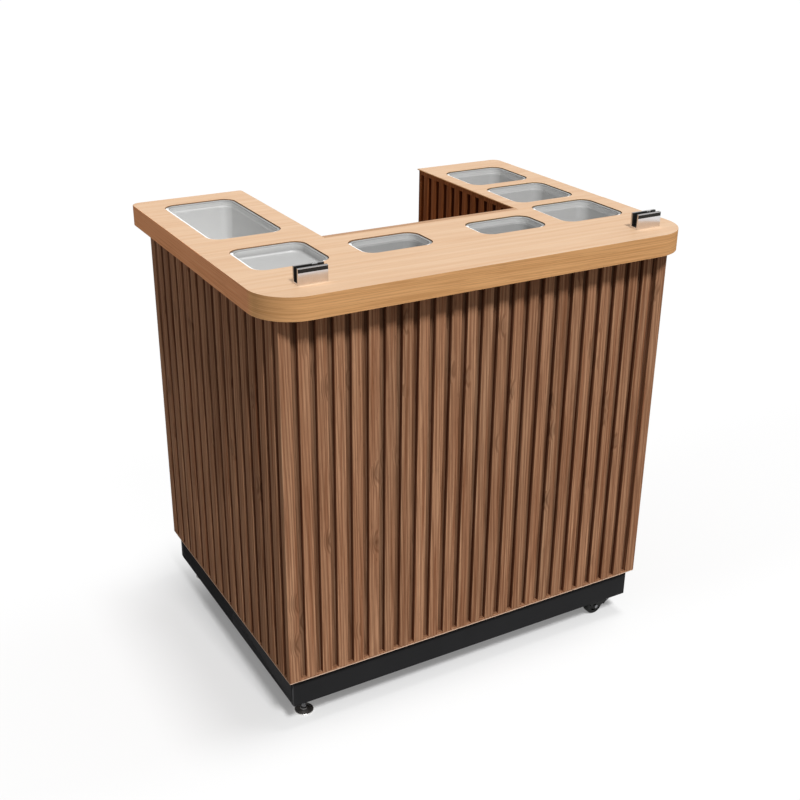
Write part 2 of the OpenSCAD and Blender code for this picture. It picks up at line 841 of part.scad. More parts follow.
// Threaded stem with a hexagon for the spanner
hex_h = 6;
hex_z = 2;
hex_r = stem_r + 3.5;
module foot_stem() {
    color(chrome) translate([0, 0, pad_h]) union() {
        cylinder(r = stem_r, h = stem_len);
        translate([0, 0, hex_z]) cylinder(r = hex_r, h = hex_h, $fn = 6);
    }
}

module foot_pad_front() {
    translate([foot_x, foot_front_y, 0]) foot_pad();
}

module foot_stem_front() {
    translate([foot_x, foot_front_y, 0]) foot_stem();
}

module foot_pad_rear() {
    translate([foot_x, foot_rear_y, 0]) foot_pad();
}

module foot_stem_rear() {
    translate([foot_x, foot_rear_y, 0]) foot_stem();
}

// Castors: the swivel axis is the local Z axis, and the wheel trails towards +X
module at_castors() {
    for (y = [castor_front_y, castor_rear_y]) translate([castor_x, y, 0]) children();
}

module plate_holes() {
    for (x = [-1, 1], y = [-1, 1])
        translate([x * hole_pitch / 2, y * hole_pitch / 2]) children();
}

castor_screw_len = 20;
castor_block_in = min(block_half, castor_inset_y - plinth_t);
module castor_blocks() {
    color(birch) at_castors() difference() {
        block([-block_half, -castor_block_in, block_z], [block_half, castor_block_in, case_z]);
        plate_holes() translate([0, 0, block_z - back]) cylinder(r = hole_r, h = castor_screw_len + back);
    }
}

module castor_screws() {
    color(steel) at_castors() plate_holes() {
        translate([0, 0, castor_h - plate_t]) cylinder(r = hole_r, h = castor_screw_len + plate_t);
        translate([0, 0, castor_h - plate_t - screw_head_h])
            cylinder(r = hole_r * head_ratio, h = screw_head_h);
    }
}

// Plate, race cup and riveted swivel pin
plate_corner = 5;
race_h = 7;
race_r = 15;
race_flare = 2;
crown_gap = 0.4;
crown_top = castor_h - plate_t - race_h - crown_gap;
crown_low = crown_top - plate_t;
king_head_r = king_r + 2.5;
king_head_h = 2;
module castor_plate() {
    plate_low = castor_h - plate_t;
    head_top = crown_low - crown_gap;
    color(black) union() {
        translate([0, 0, plate_low]) linear_extrude(plate_t) difference() {
            soft_square(plate_w, plate_w, plate_corner);
            plate_holes() circle(hole_r);
        }
        rotate_extrude()
            polygon([
                [0, plate_low], [race_r + race_flare, plate_low], [race_r, plate_low - race_h],
                [king_r, plate_low - race_h], [king_r, head_top], [king_head_r, head_top],
                [king_head_r - 1, head_top - king_head_h], [0, head_top - king_head_h]
            ]);
    }
}

// Pressed fork: a crown under the race, and two cheeks that carry the axle and the lever's pin
cheek_in = wheel_w / 2 + cheek_gap;
cheek_out = cheek_in + plate_t;
crown_half = race_r;
axle_eye = 9.5;
lever_eye = 6;
axle_at = [trail, wheel_r];
lever_at = [trail + lever_x, lever_z];

// A side outline (along the floor, height) as a slab of a width, centred on y
module slab(w) {
    translate([0, w / 2, 0]) rotate([90, 0, 0]) linear_extrude(w) children();
}

module cheek_outline() {
    hull() {
        translate([-crown_half, crown_low]) square([2 * crown_half, plate_t]);
        translate(axle_at) circle(axle_eye, $fn = 32);
    }
    hull() {
        translate(axle_at) circle(axle_eye, $fn = 32);
        translate(lever_at) circle(lever_eye, $fn = 32);
    }
}

module castor_fork() {
    color(black) difference() {
        slab(2 * cheek_out) cheek_outline();
        translate([-crown_half - wheel_r, -cheek_in, 0])
            cube([crown_half + 2 * wheel_r + lever_at[0], 2 * cheek_in, crown_low]);
        translate([0, 0, crown_low - back]) cylinder(r = king_r + run_gap, h = plate_t + 2 * back);
        translate([axle_at[0], 0, axle_at[1]]) cross_bore(axle_r);
        translate([lever_at[0], 0, lever_at[1]]) cross_bore(lever_pin_r);
    }
}

// Axle bolt with its nuts, and the lever's riveted pin: they are fixed in the cheeks
nut_h = 3.5;
rivet_h = 1;
module cross_bore(r) {
    translate([0, -cheek_out - back, 0]) rotate([-90, 0, 0]) cylinder(r = r, h = 2 * (cheek_out + back));
}

module cross_pin(r, over, sides) {
    reach = cheek_out + over;
    translate([0, -reach, 0]) rotate([-90, 0, 0]) cylinder(r = r, h = 2 * reach);
    for (y = [-reach, cheek_out])
        translate([0, y, 0]) rotate([-90, 0, 0]) cylinder(r = r * head_ratio, h = over, $fn = sides);
}

module castor_pins() {
    color(steel) {
        translate([axle_at[0], 0, axle_at[1]]) cross_pin(axle_r, nut_h, 6);
        translate([lever_at[0], 0, lever_at[1]]) cross_pin(lever_pin_r, rivet_h, 32);
    }
}

// Wheel hub with a dished web on each side, and the tyre round it
hub_boss = 4;
hub_lip = 2.5;
web_dish = 5;
tyre_shoulder = 3;
module at_axle() {
    translate([axle_at[0], 0, axle_at[1]]) rotate([90, 0, 0]) children();
}

module castor_hub() {
    half = wheel_w / 2;
    lip = half - 1;
    web = half - web_dish;
    bore = axle_r + run_gap;
    boss = axle_r + hub_boss;
    color(black) at_axle() rotate_extrude()
        polygon([
            [bore, -half], [boss, -half], [boss + 1, -web], [hub_r - hub_lip - 1, -web],
            [hub_r - hub_lip, -lip], [hub_r, -lip], [hub_r, lip], [hub_r - hub_lip, lip],
            [hub_r - hub_lip - 1, web], [boss + 1, web], [boss, half], [bore, half]
        ]);
}

module castor_tyre() {
    half = wheel_w / 2 - 0.5;
    flat = half - tyre_shoulder;
    color(rubber) at_axle() rotate_extrude() union() {
        translate([hub_r, -half]) square([wheel_r - tyre_shoulder - hub_r, 2 * half]);
        translate([hub_r, -flat]) square([wheel_r - hub_r, 2 * flat]);
        for (s = [-1, 1]) translate([wheel_r - tyre_shoulder, s * flat]) circle(tyre_shoulder);
    }
}

// Brake lever: a boss on the pin, a shoe beside the tyre and a pedal outside the fork
lever_gap = 0.6;
lever_boss = 5;
shoe_t = 3;
shoe_half = 4;
pedal_t = 3.5;
pedal_rise = 9;
module castor_lever() {
    pedal_z = plinth_gap - pedal_drop - pedal_t / 2;
    root = [lever_at[0] + pedal_rise, pedal_z];
    tip = [lever_at[0] + pedal_reach - pedal_t / 2, pedal_z - 2];
    color(black) difference() {
        union() {
            slab(2 * (cheek_in - lever_gap)) {
                hull() {
                    translate(lever_at) circle(lever_boss, $fn = 32);
                    translate([trail + wheel_r + brake_gap, wheel_r - shoe_half])
                        square([shoe_t, 2 * shoe_half]);
                }
                hull() {
                    translate(lever_at) circle(lever_boss, $fn = 32);
                    translate(root) circle(pedal_t / 2, $fn = 32);
                }
            }
            slab(2 * cheek_out) hull() {
                translate(root) circle(pedal_t / 2, $fn = 32);
                translate(tip) circle(pedal_t / 2, $fn = 32);
            }
        }
        translate([lever_at[0], 0, lever_at[1]]) cross_bore(lever_pin_r + run_gap);
    }
}

module front_castor() {
    translate([castor_x, castor_front_y, 0]) children();
}

module rear_castor() {
    translate([castor_x, castor_rear_y, 0]) children();
}

worktop_front();
worktop_left();
worktop_right();
cladding_front();
cladding_left();
cladding_right();
cladding_rear();
corner_posts();
lining_left();
lining_right();
lining_front();
carcass_front();
carcass_left();
carcass_right();
carcass_ends();
partition_left();
partition_right();
bay_back();
bay_deck();
bottom_deck();
storage_shelf();
shelf_pins();
cleats();
plinth_front();
plinth_rear();
plinth_left();
plinth_right();
pan(third);  // pan_third
pan(tray);  // pan_tray
pan(ninth_left);  // pan_ninth_left
pan(ninth_right);  // pan_ninth_right
pan(sixth_front);  // pan_sixth_front
pan(sixth_middle);  // pan_sixth_middle
pan(sixth_rear);  // pan_sixth_rear
clamp_left();
clamp_right();
clamp_gaskets();
clamp_screws();
translate(clamps[0]) clamp_press();  // clamp_press_left
translate(clamps[1]) clamp_press();  // clamp_press_right
foot_blocks();
foot_inserts();
foot_pad_front();
foot_stem_front();
foot_pad_rear();
foot_stem_rear();
castor_blocks();
castor_screws();
front_castor() castor_plate();  // castor_plate_front
front_castor() castor_fork();  // castor_fork_front
front_castor() castor_pins();  // castor_pins_front
front_castor() castor_hub();  // castor_hub_front
front_castor() castor_tyre();  // castor_tyre_front
front_castor() castor_lever();  // castor_lever_front
rear_castor() castor_plate();  // castor_plate_rear
rear_castor() castor_fork();  // castor_fork_rear
rear_castor() castor_pins();  // castor_pins_rear
rear_castor() castor_hub();  // castor_hub_rear
rear_castor() castor_tyre();  // castor_tyre_rear
rear_castor() castor_lever();  // castor_lever_rear
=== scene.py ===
import math

import bmesh
import bpy
from mathutils import Matrix, Vector


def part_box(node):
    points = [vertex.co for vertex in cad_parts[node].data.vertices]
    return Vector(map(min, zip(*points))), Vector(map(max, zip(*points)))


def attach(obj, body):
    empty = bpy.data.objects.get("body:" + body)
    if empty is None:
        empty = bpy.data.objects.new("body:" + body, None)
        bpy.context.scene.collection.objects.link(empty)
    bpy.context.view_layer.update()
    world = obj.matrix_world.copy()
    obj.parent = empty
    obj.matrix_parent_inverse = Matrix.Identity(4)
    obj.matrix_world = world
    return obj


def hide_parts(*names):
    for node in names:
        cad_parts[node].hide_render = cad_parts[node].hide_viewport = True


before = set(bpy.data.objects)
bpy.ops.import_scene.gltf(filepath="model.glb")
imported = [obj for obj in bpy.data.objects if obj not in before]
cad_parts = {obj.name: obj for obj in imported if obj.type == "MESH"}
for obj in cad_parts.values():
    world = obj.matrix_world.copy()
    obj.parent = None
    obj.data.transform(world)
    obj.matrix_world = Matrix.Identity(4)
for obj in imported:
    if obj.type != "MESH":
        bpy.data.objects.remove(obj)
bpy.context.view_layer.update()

scene = bpy.context.scene
print("frame loaded:", len(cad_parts), "nodes")


# Small helpers: colours, nodes and meshes

def rgb(code):  # "EDCBA4" as a linear colour
    channels = [int(code[i:i + 2], 16) / 255 for i in (0, 2, 4)]
    return [c / 12.92 if c < 0.04045 else ((c + 0.055) / 1.055) ** 2.4 for c in channels] + [1.0]


def addNode(tree, kind, inputs=None, **settings):
    node = tree.nodes.new(kind)
    for key, value in settings.items():
        setattr(node, key, value)
    for key, value in (inputs or {}).items():
        if isinstance(value, bpy.types.NodeSocket):
            tree.links.new(value, node.inputs[key])
        else:
            node.inputs[key].default_value = value
    return node


def made(tree, kind, inputs=None, **settings):  # a new node's first output
    return addNode(tree, kind, inputs, **settings).outputs[0]


def calc(tree, operation, a, b=0.0, c=0.0):
    return made(tree, "ShaderNodeMath", {0: a, 1: b, 2: c}, operation=operation)


def times(tree, a, b):
    return calc(tree, "MULTIPLY", a, b)


def plus(tree, a, b):
    return calc(tree, "ADD", a, b)


def minus(tree, a, b):
    return calc(tree, "SUBTRACT", a, b)


def divided(tree, a, b):
    return calc(tree, "DIVIDE", a, b)


def dimmed(tree, level, amount, depth):  # takes at most the depth's share off a level
    return times(tree, level, minus(tree, 1.0, times(tree, amount, depth)))


def point(tree, x=0.0, y=0.0, z=0.0):
    return made(tree, "ShaderNodeCombineXYZ", {0: x, 1: y, 2: z})


def parts(tree, vector):  # a vector's three parts
    return addNode(tree, "ShaderNodeSeparateXYZ", {0: vector}).outputs


def vectorCalc(tree, operation, a, b):
    return made(tree, "ShaderNodeVectorMath", {0: a, 1: b}, operation=operation)


def blendColours(tree, factor, a, b, mode="MIX"):
    node = addNode(tree, "ShaderNodeMix", {0: factor, 6: a, 7: b}, data_type="RGBA", blend_type=mode)
    return node.outputs[2]


def shaded(tree, colour, level):  # a colour times a grey level
    grey = made(tree, "ShaderNodeCombineColor", {0: level, 1: level, 2: level})
    return blendColours(tree, 1.0, colour, grey, "MULTIPLY")


def remap(tree, value, low, high, toLow=0.0, toHigh=1.0, curve="LINEAR"):
    node = addNode(tree, "ShaderNodeMapRange", {0: value, 1: low, 2: high, 3: toLow, 4: toHigh},
                   interpolation_type=curve)
    return node.outputs[0]


def seenRays(tree):  # 1 where the camera looks, straight or in a reflection, and 0 for light that bounces
    rays = addNode(tree, "ShaderNodeLightPath").outputs
    seen = calc(tree, "MAXIMUM", rays["Is Camera Ray"], rays["Is Glossy Ray"])
    return calc(tree, "MAXIMUM", seen, rays["Is Transmission Ray"])


def startMaterial(name, constants):
    material = bpy.data.materials.new(name)
    material.use_nodes = True
    tree = material.node_tree
    tree.nodes.clear()
    shader = addNode(tree, "ShaderNodeBsdfPrincipled", constants)
    sink = addNode(tree, "ShaderNodeOutputMaterial")
    tree.links.new(shader.outputs[0], sink.inputs["Surface"])
    return material, tree, shader


def mapped(tree, vector, scale):
    return made(tree, "ShaderNodeMapping", {"Vector": vector, "Scale": scale})


def noise(tree, vector, detail=3.0, roughness=0.5, distortion=0.0):
    node = addNode(tree, "ShaderNodeTexNoise", {
        "Vector": vector, "Scale": 1.0, "Detail": detail, "Roughness": roughness, "Distortion": distortion})
    return node.outputs["Fac"]


def addRelief(tree, shader, strength, distance, height):
    bump = addNode(tree, "ShaderNodeBump", {"Strength": strength, "Distance": distance, "Height": height})
    tree.links.new(bump.outputs[0], shader.inputs["Normal"])


def nameAttribute(tree, name):
    return addNode(tree, "ShaderNodeAttribute", attribute_name=name).outputs["Fac"]


def storeFloat(mesh, name, values):
    layer = mesh.attributes.get(name) or mesh.attributes.new(name, "FLOAT", "POINT")
    if not hasattr(values, "__len__"):
        values = [values] * len(mesh.vertices)
    layer.data.foreach_set("value", values)


def newPiece(name, mesh):
    piece = bpy.data.objects.new(name, mesh)
    scene.collection.objects.link(piece)
    return piece


def bake(piece):  # turns the modifiers' result into a plain mesh
    graph = bpy.context.evaluated_depsgraph_get()
    mesh = bpy.data.meshes.new_from_object(piece.evaluated_get(graph))
    piece.modifiers.clear()
    piece.data = mesh
    return piece


def mergedCopy(name, nodes, weld=1e-6, flat=0.3):  # a welded copy of CAD nodes, with their flat faces whole
    work = bmesh.new()
    for node in nodes:
        work.from_mesh(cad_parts[node].data)
    bmesh.ops.remove_doubles(work, verts=work.verts, dist=weld)
    bmesh.ops.dissolve_limit(work, angle_limit=math.radians(flat), verts=work.verts, edges=work.edges)
    mesh = bpy.data.meshes.new(name)
    work.to_mesh(mesh)
    work.free()
    return newPiece(name, mesh)


def softenEdges(piece, width, segments=2, angle=30, byWeight=False):
    edges = piece.modifiers.new("edges", "BEVEL")
    edges.width = width
    edges.segments = segments
    edges.limit_method = "WEIGHT" if byWeight else "ANGLE"
    edges.angle_limit = math.radians(angle)
    for face in piece.data.polygons:
        face.use_smooth = True
    weights = piece.modifiers.new("normals", "WEIGHTED_NORMAL")
    weights.keep_sharp = True
    return bake(piece)


def smoothByAngle(piece, angle=35):
    for face in piece.data.polygons:
        face.use_smooth = True
    piece.data.set_sharp_from_angle(angle=math.radians(angle))
    return piece


def useMaterial(piece, *materials):
    piece.data.materials.clear()
    for material in materials:
        piece.data.materials.append(material)


def settle(piece, body, slotName, *nodes):  # rides on its body and stands for its nodes, which it hides
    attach(piece, body)
    if nodes:
        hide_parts(*nodes)
    return piece


# Camera at the photograph's angle

cameraView = {
    "place": (-1.3370, -2.3203, 1.7935),
    "turn": -29.813, "tilt": 65.683, "roll": 0.616,  # degrees
    "lens": 52.214, "sensor": 36.0,  # millimetres
}


def makeCamera(s):
    data = bpy.data.cameras.new("camera")
    data.sensor_width = s["sensor"]
    data.lens = s["lens"]
    camera = bpy.data.objects.new("camera", data)
    scene.collection.objects.link(camera)
    place = Matrix.Translation(s["place"])
    for angle, axis in (("turn", "Z"), ("tilt", "X"), ("roll", "Z")):
        place = place @ Matrix.Rotation(math.radians(s[angle]), 4, axis)
    camera.matrix_world = place
    scene.camera = camera


makeCamera(cameraView)


# Pale floor, soft light from above and from the front, and an even white room

studio = {
    "floorSize": 60.0, "floorBounce": "7C7A79", "floorGlow": 0.2, "floorShade": "CFCFCF",
    "sweepBehind": (0.18, 0.62), "sweepAhead": (0.27, 0.54), "sweepShade": "2A2A2A", "sweepGlow": 0.98,
    "lamps": {"front": ((-0.03, -0.57, 0.82), 2.72, 11.0), "side": ((0.13, -0.03, 0.99), 1.0, 11.0)},
    "roomPower": 0.25, "roomColour": "FFFFFF",
}


def makeFloor(s):  # away from the piece, to the front and the rear, the floor fades into a white sweep
    mesh = bpy.data.meshes.new("floor")
    half = s["floorSize"] / 2
    corners = [(-half, -half, 0), (half, -half, 0), (half, half, 0), (-half, half, 0)]
    mesh.from_pydata(corners, [], [(0, 1, 2, 3)])
    floor = newPiece("floor", mesh)
    material, tree, shader = startMaterial("paleFloor", {
        "Roughness": 0.9, "Specular IOR Level": 0.0, "Emission Color": (1, 1, 1, 1)})
    seen = seenRays(tree)
    depth = parts(tree, addNode(tree, "ShaderNodeTexCoord").outputs["Object"])[1]
    sweep = 0.0
    for side, reach in ((1.0, s["sweepBehind"]), (-1.0, s["sweepAhead"])):
        away = remap(tree, times(tree, depth, side), *reach, curve="SMOOTHSTEP")
        sweep = calc(tree, "MAXIMUM", away, sweep)
    pale = blendColours(tree, sweep, rgb(s["floorShade"]), rgb(s["sweepShade"]))
    pale = blendColours(tree, seen, rgb(s["floorBounce"]), pale)
    tree.links.new(pale, shader.inputs["Base Color"])
    glow = times(tree, seen, remap(tree, sweep, 0.0, 1.0, s["floorGlow"], s["sweepGlow"]))
    tree.links.new(glow, shader.inputs["Emission Strength"])
    useMaterial(floor, material)


def makeLight(s):
    for name, (comesFrom, power, softness) in s["lamps"].items():
        sun = bpy.data.lights.new(name, "SUN")
        sun.energy = power
        sun.angle = math.radians(softness)
        lamp = bpy.data.objects.new(name, sun)
        lamp.rotation_mode = "QUATERNION"
        lamp.rotation_quaternion = Vector(comesFrom).to_track_quat("Z", "Y")
        scene.collection.objects.link(lamp)

    world = bpy.data.worlds.new("room")
    scene.world = world
    world.use_nodes = True
    tree = world.node_tree
    tree.nodes.clear()
    power = plus(tree, times(tree, seenRays(tree), 1 - s["roomPower"]), s["roomPower"])
    back = addNode(tree, "ShaderNodeBackground", {"Color": rgb(s["roomColour"]), "Strength": power})
    sink = addNode(tree, "ShaderNodeOutputWorld")
    tree.links.new(back.outputs[0], sink.inputs["Surface"])
    scene.view_settings.view_transform = "Standard"


makeFloor(studio)
makeLight(studio)
print("camera, floor and lights ready")


# Wood: broad streaks, wavy figure, fine fibres, dark pores and a few small knots.
# The grain runs along one axis; tone and shift come from each piece's own attributes.
# In the looks, a pair is a pattern's scale along the grain and across it.
# Some looks also paint in light and shade: painted shade in the grooves and painted highlights on the slats'
# edges and along their foot.

growth = {  # what all the woods share, mostly the range in which each noise counts
    "shiftSteps": (3.7, 5.1, 7.9), "knotReach": (0.42, 0.04), "knotBend": 9.0, "streaks": (0.3, 0.7),
    "figure": (0.35, 0.9), "fibres": (0.3, 0.7), "pores": (0.36, 0.26), "roughSpread": (-0.05, 0.06),
    # inGroove, slatEdge and atFace: where the painted groove shade and the painted slat-edge highlight begin
    # and end
    "inGroove": (0.05, 0.6), "slatEdge": (0.86, 0.97), "atFace": (0.12, 0.03), "reliefSize": 0.0003,
    # detail, roughness and distortion of each noise
    "streakNoise": (4, 0.6, 0.6), "fibreNoise": (3, 0.6, 0.2), "poreNoise": (2, 0.5, 0.0),
    "sheenNoise": (3, 0.6),
}


def woodPlace(tree, s):
    place = addNode(tree, "ShaderNodeTexCoord").outputs["Object"]
    if s.get("run"):  # an edge band's grain follows the band
        place = point(tree, nameAttribute(tree, s["run"]), z=parts(tree, place)[2])
    shift = s.get("shift") or nameAttribute(tree, "shift")
    moved = point(tree, *[times(tree, shift, step) for step in growth["shiftSteps"]])
    return vectorCalc(tree, "ADD", place, moved)


def shadeGrooves(tree, s, colour, level):  # painted shade: the grooves grow darker with depth, their walls redder and their floors darker towards the sides; painted highlight: the slat edges are lighter at the face
    across = calc(tree, "ABSOLUTE", nameAttribute(tree, "across"))
    deep = nameAttribute(tree, "deep")
    wall = calc(tree, "GREATER_THAN", across, 0.5)
    inGroove = remap(tree, deep, *growth["inGroove"])
    level = dimmed(tree, level, inGroove, remap(tree, wall, 0.0, 1.0, s["floorShade"], s["grooveShade"]))
    paintedWallShade = times(tree, times(tree, inGroove, wall), s["paintedWallShadeShare"])
    colour = blendColours(tree, paintedWallShade, colour, rgb(s["paintedWallShade"]))
    corner = remap(tree, calc(tree, "ABSOLUTE", nameAttribute(tree, "corner")), s["cornerFrom"], 1.0)
    level = dimmed(tree, level, corner, s["cornerShade"])
    litEdge = remap(tree, across, *growth["slatEdge"], 0.0, s["edgeHighlight"])
    litEdge = times(tree, litEdge, remap(tree, deep, *growth["atFace"]))
    return colour, times(tree, level, plus(tree, 1.0, litEdge))


def makeWood(name, s):
    material, tree, shader = startMaterial(name, {"Specular IOR Level": s["gloss"], "IOR": 1.5})
    place = woodPlace(tree, s)

    def stretched(name):  # the place, scaled along the grain and across it
        along, across = s[name]
        scale = [across] * 3
        scale[s["grain"]] = along
        return mapped(tree, place, scale)

    knots = addNode(tree, "ShaderNodeTexVoronoi", {
        "Vector": stretched("knot"), "Scale": 1.0}).outputs
    chance = made(tree, "ShaderNodeSeparateColor", {0: knots["Color"]})
    rare = calc(tree, "GREATER_THAN", chance, 1 - s["knotShare"])
    knot = times(tree, remap(tree, knots["Distance"], *growth["knotReach"]), rare)
    streaks = noise(tree, stretched("streak"), *growth["streakNoise"])
    figure = addNode(tree, "ShaderNodeTexWave", {
        "Vector": stretched("figure"), "Scale": 1.0,
        "Distortion": s["figureWarp"], "Detail": 2.0, "Detail Scale": 0.7, "Detail Roughness": 0.55,
        "Phase Offset": times(tree, knot, growth["knotBend"])},
        wave_type="BANDS", bands_direction="DIAGONAL").outputs["Fac"]
    fibres = noise(tree, stretched("fibre"), *growth["fibreNoise"])
    pores = noise(tree, stretched("pore"), *growth["poreNoise"])
    pore = remap(tree, pores, *growth["pores"])

    colour = blendColours(tree, remap(tree, streaks, *growth["streaks"]), rgb(s["dark"]), rgb(s["light"]))
    veins = times(tree, remap(tree, figure, *growth["figure"]), s["figureDepth"])
    colour = blendColours(tree, veins, colour, rgb(s["vein"]))
    fine = remap(tree, fibres, *growth["fibres"], 1 - s["fibreDepth"], 1 + s["fibreDepth"])
    # a piece's own tone, or on the worktop's edge band its painted edge light
    tone = nameAttribute(tree, s.get("toneFrom", "tone"))
    level = times(tree, fine, remap(tree, tone, -1, 1, 1 - s["toneDepth"], 1 + s["toneDepth"]))
    level = dimmed(tree, level, pore, s["poreDepth"])
    level = dimmed(tree, level, knot, s["knotDepth"])
    if s.get("grooveShade"):
        colour, level = shadeGrooves(tree, s, colour, level)
    colour = shaded(tree, colour, level)
    if s.get("paintedLightTint"):  # painted light: where the left edge is painted paler, it is a little redder too
        colour = blendColours(tree, remap(tree, tone, 0.0, 1.0), colour, rgb(s["paintedLightTint"]), "MULTIPLY")
    if s.get("footHighlight"):  # painted highlight: a pale line along the boards' foot; height is stored one metre up, so 0 means none
        height = nameAttribute(tree, "height")
        known = calc(tree, "GREATER_THAN", height, 0.5)
        footLit = times(tree, known, calc(tree, "LESS_THAN", height, 1 + s["footHighlight"]))
        colour = blendColours(tree, footLit, colour, rgb(s["footHighlightColour"]))
    tree.links.new(colour, shader.inputs["Base Color"])
    rough = remap(tree, fibres, *growth["fibres"], *[s["rough"] + change for change in growth["roughSpread"]])
    tree.links.new(rough, shader.inputs["Roughness"])
    addRelief(tree, shader, s["relief"], growth["reliefSize"], minus(tree, fibres, pore))
    return material


oakLook = {
    "grain": 0, "gloss": 0.15, "rough": 0.5, "relief": 0.25,
    "light": "D4B596", "dark": "CCA785", "vein": "BB8E68",
    "streak": (2.0, 75.0),
    "figure": (1.1, 15.0), "figureWarp": 15.0, "figureDepth": 0.17,
    "fibre": (9.0, 300.0), "fibreDepth": 0.04,
    "pore": (30.0, 700.0), "poreDepth": 0.16,
    "knot": (5.0, 9.0), "knotShare": 0.05, "knotDepth": 0.12,
    "toneDepth": 0.05,
}
# on the edge band the tone is painted light: the shaded left edge is painted paler and redder, the start of
# the front corner darker
oakEdgeLook = dict(
    oakLook, run="run", toneFrom="paintedEdgeLight", paintedLightTint="FFEEFC", shift=3.1, gloss=0.0, toneDepth=0.38,
    light="EDB67E", dark="D9A26B", vein="B88250",
    streak=(3.0, 260.0), figure=(2.0, 120.0), figureDepth=0.35,
    fibre=(12.0, 700.0), fibreDepth=0.08, poreDepth=0.25, knotShare=0.0)
# painted shade: the faces inside the pans' recesses take a darker copy of the edge band
oakRecessShadeLook = dict(oakEdgeLook, light="8C7048", dark="745B38", vein="5F4A2D")
walnutLook = {
    "grain": 2, "gloss": 0.01, "rough": 0.6, "relief": 0.35,
    # painted shade in the grooves, darker on the walls and towards the floors' sides, and painted highlights
    # on the slat edges and along the foot
    "grooveShade": 0.12, "paintedWallShade": "66321C", "paintedWallShadeShare": 0.6, "floorShade": 0.33,
    "cornerFrom": 0.2, "cornerShade": 0.42, "edgeHighlight": 0.25, "footHighlight": 0.0022, "footHighlightColour": "F0CDB4",
    "light": "C59775", "dark": "8E5E42", "vein": "6C442E",
    "streak": (2.4, 140.0),
    "figure": (2.2, 75.0), "figureWarp": 8.0, "figureDepth": 0.42,
    "fibre": (14.0, 520.0), "fibreDepth": 0.15,
    "pore": (40.0, 900.0), "poreDepth": 0.4,
    "knot": (12.0, 24.0), "knotShare": 0.14, "knotDepth": 0.36,
    "toneDepth": 0.13,
}
liningLook = dict(
    walnutLook, light="AE6E42", dark="7E4A26", vein="663619", gloss=0.03, toneDepth=0.08, footHighlight=0.0)
# painted highlight: a paler walnut for the front lining's top faces
capHighlightLook = dict(
    walnutLook, grain=0, light="C19C7E", dark="B08C6E", vein="A27E62", grooveShade=0.0, toneDepth=0.0,
    footHighlight=0.0)
insideLook = dict(walnutLook, grain=0, rough=0.55, toneDepth=0.03, grooveShade=0.0, footHighlight=0.0)
plyLook = dict(
    oakLook, rough=0.65, gloss=0.25, light="E0CDA8", dark="D2B98D", vein="BF9F6F", fibreDepth=0.05)

oakTop = makeWood("oakTop", oakLook)
oakEdge = makeWood("oakEdge", oakEdgeLook)
oakRecessShade = makeWood("oakRecessShade", oakRecessShadeLook)
walnut = makeWood("walnutSlats", walnutLook)
walnutLining = makeWood("walnutLining", liningLook)
walnutCapHighlight = makeWood("walnutCapHighlight", capHighlightLook)
walnutInside = makeWood("walnutInside", insideLook)
walnutUpright = makeWood("walnutUpright", dict(insideLook, grain=2))
plyBoard = makeWood("plyBoard", plyLook)


# Metals, plinth board, rubber and moulded plastic

def makeSheen(name, s):
    material, tree, shader = startMaterial(name, {
        "Metallic": s.get("metal", 0.0), "Specular IOR Level": s.get("gloss", 0.5)})
    place = addNode(tree, "ShaderNodeTexCoord").outputs["Object"]
    lines = noise(tree, mapped(tree, place, s["stretch"]), *growth["sheenNoise"])
    clouds = noise(tree, mapped(tree, place, [s["cloudScale"]] * 3), *growth["sheenNoise"])
    counts = growth["fibres"]
    colour = blendColours(tree, remap(tree, clouds, *counts), rgb(s["dark"]), rgb(s["light"]))
    if s.get("level"):  # painted shade, reflection and highlight: some faces of these pieces are painted darker or paler
        colour = shaded(tree, colour, nameAttribute(tree, s["level"]))
    tree.links.new(colour, shader.inputs["Base Color"])
    spread = s["spread"]
    rough = plus(tree, remap(tree, lines, *counts, s["rough"] - spread, s["rough"] + spread),
                 remap(tree, clouds, *counts, -spread / 2, spread / 2))
    tree.links.new(rough, shader.inputs["Roughness"])
    addRelief(tree, shader, s["relief"], s.get("reliefSize", 0.0001), lines)
    return material


panSteel = makeSheen("panSteel", dict(
    metal=0.3, light="E9E9E8", dark="E4E4E3", level="level", rough=0.58, spread=0.04,
    relief=0.05, stretch=(40, 400, 400), cloudScale=14))
clampChrome = makeSheen("clampChrome", dict(
    metal=1.0, light="DDDADA", dark="D6D3D3", level="level", rough=0.2, spread=0.03,
    relief=0.05, stretch=(30, 900, 900), cloudScale=40))
brightZinc = makeSheen("brightZinc", dict(
    metal=1.0, light="D8D8D8", dark="C4C5C6", rough=0.3, spread=0.06, relief=0.1,
    stretch=[300] * 3, cloudScale=90))
footChrome = makeSheen("footChrome", dict(
    metal=1.0, light="DCDAD8", dark="D2D0CF", level="level", rough=0.4, spread=0.03,
    relief=0.05, stretch=(500, 500, 60), cloudScale=60))
plinthBlack = makeSheen("plinthBlack", dict(
    gloss=0.04, light="303031", dark="2B2B2C", level="level", rough=0.8, spread=0.05,
    relief=0.25, stretch=[900] * 3, cloudScale=6, reliefSize=0.0002))
darkZinc = makeSheen("darkZinc", dict(
    metal=1.0, light="8A8A8C", dark="7C7C7E", rough=0.35, spread=0.05, relief=0.1,
    stretch=[300] * 3, cloudScale=90))
castorBlack = makeSheen("castorBlack", dict(
    gloss=0.22, light="0B0B0C", dark="080809", rough=0.25, spread=0.05, relief=0.15,
    stretch=[700] * 3, cloudScale=50))
hubPlastic = makeSheen("hubPlastic", dict(
    gloss=0.25, light="0D0D0E", dark="090909", rough=0.3, spread=0.05, relief=0.2,
    stretch=[1200] * 3, cloudScale=60))
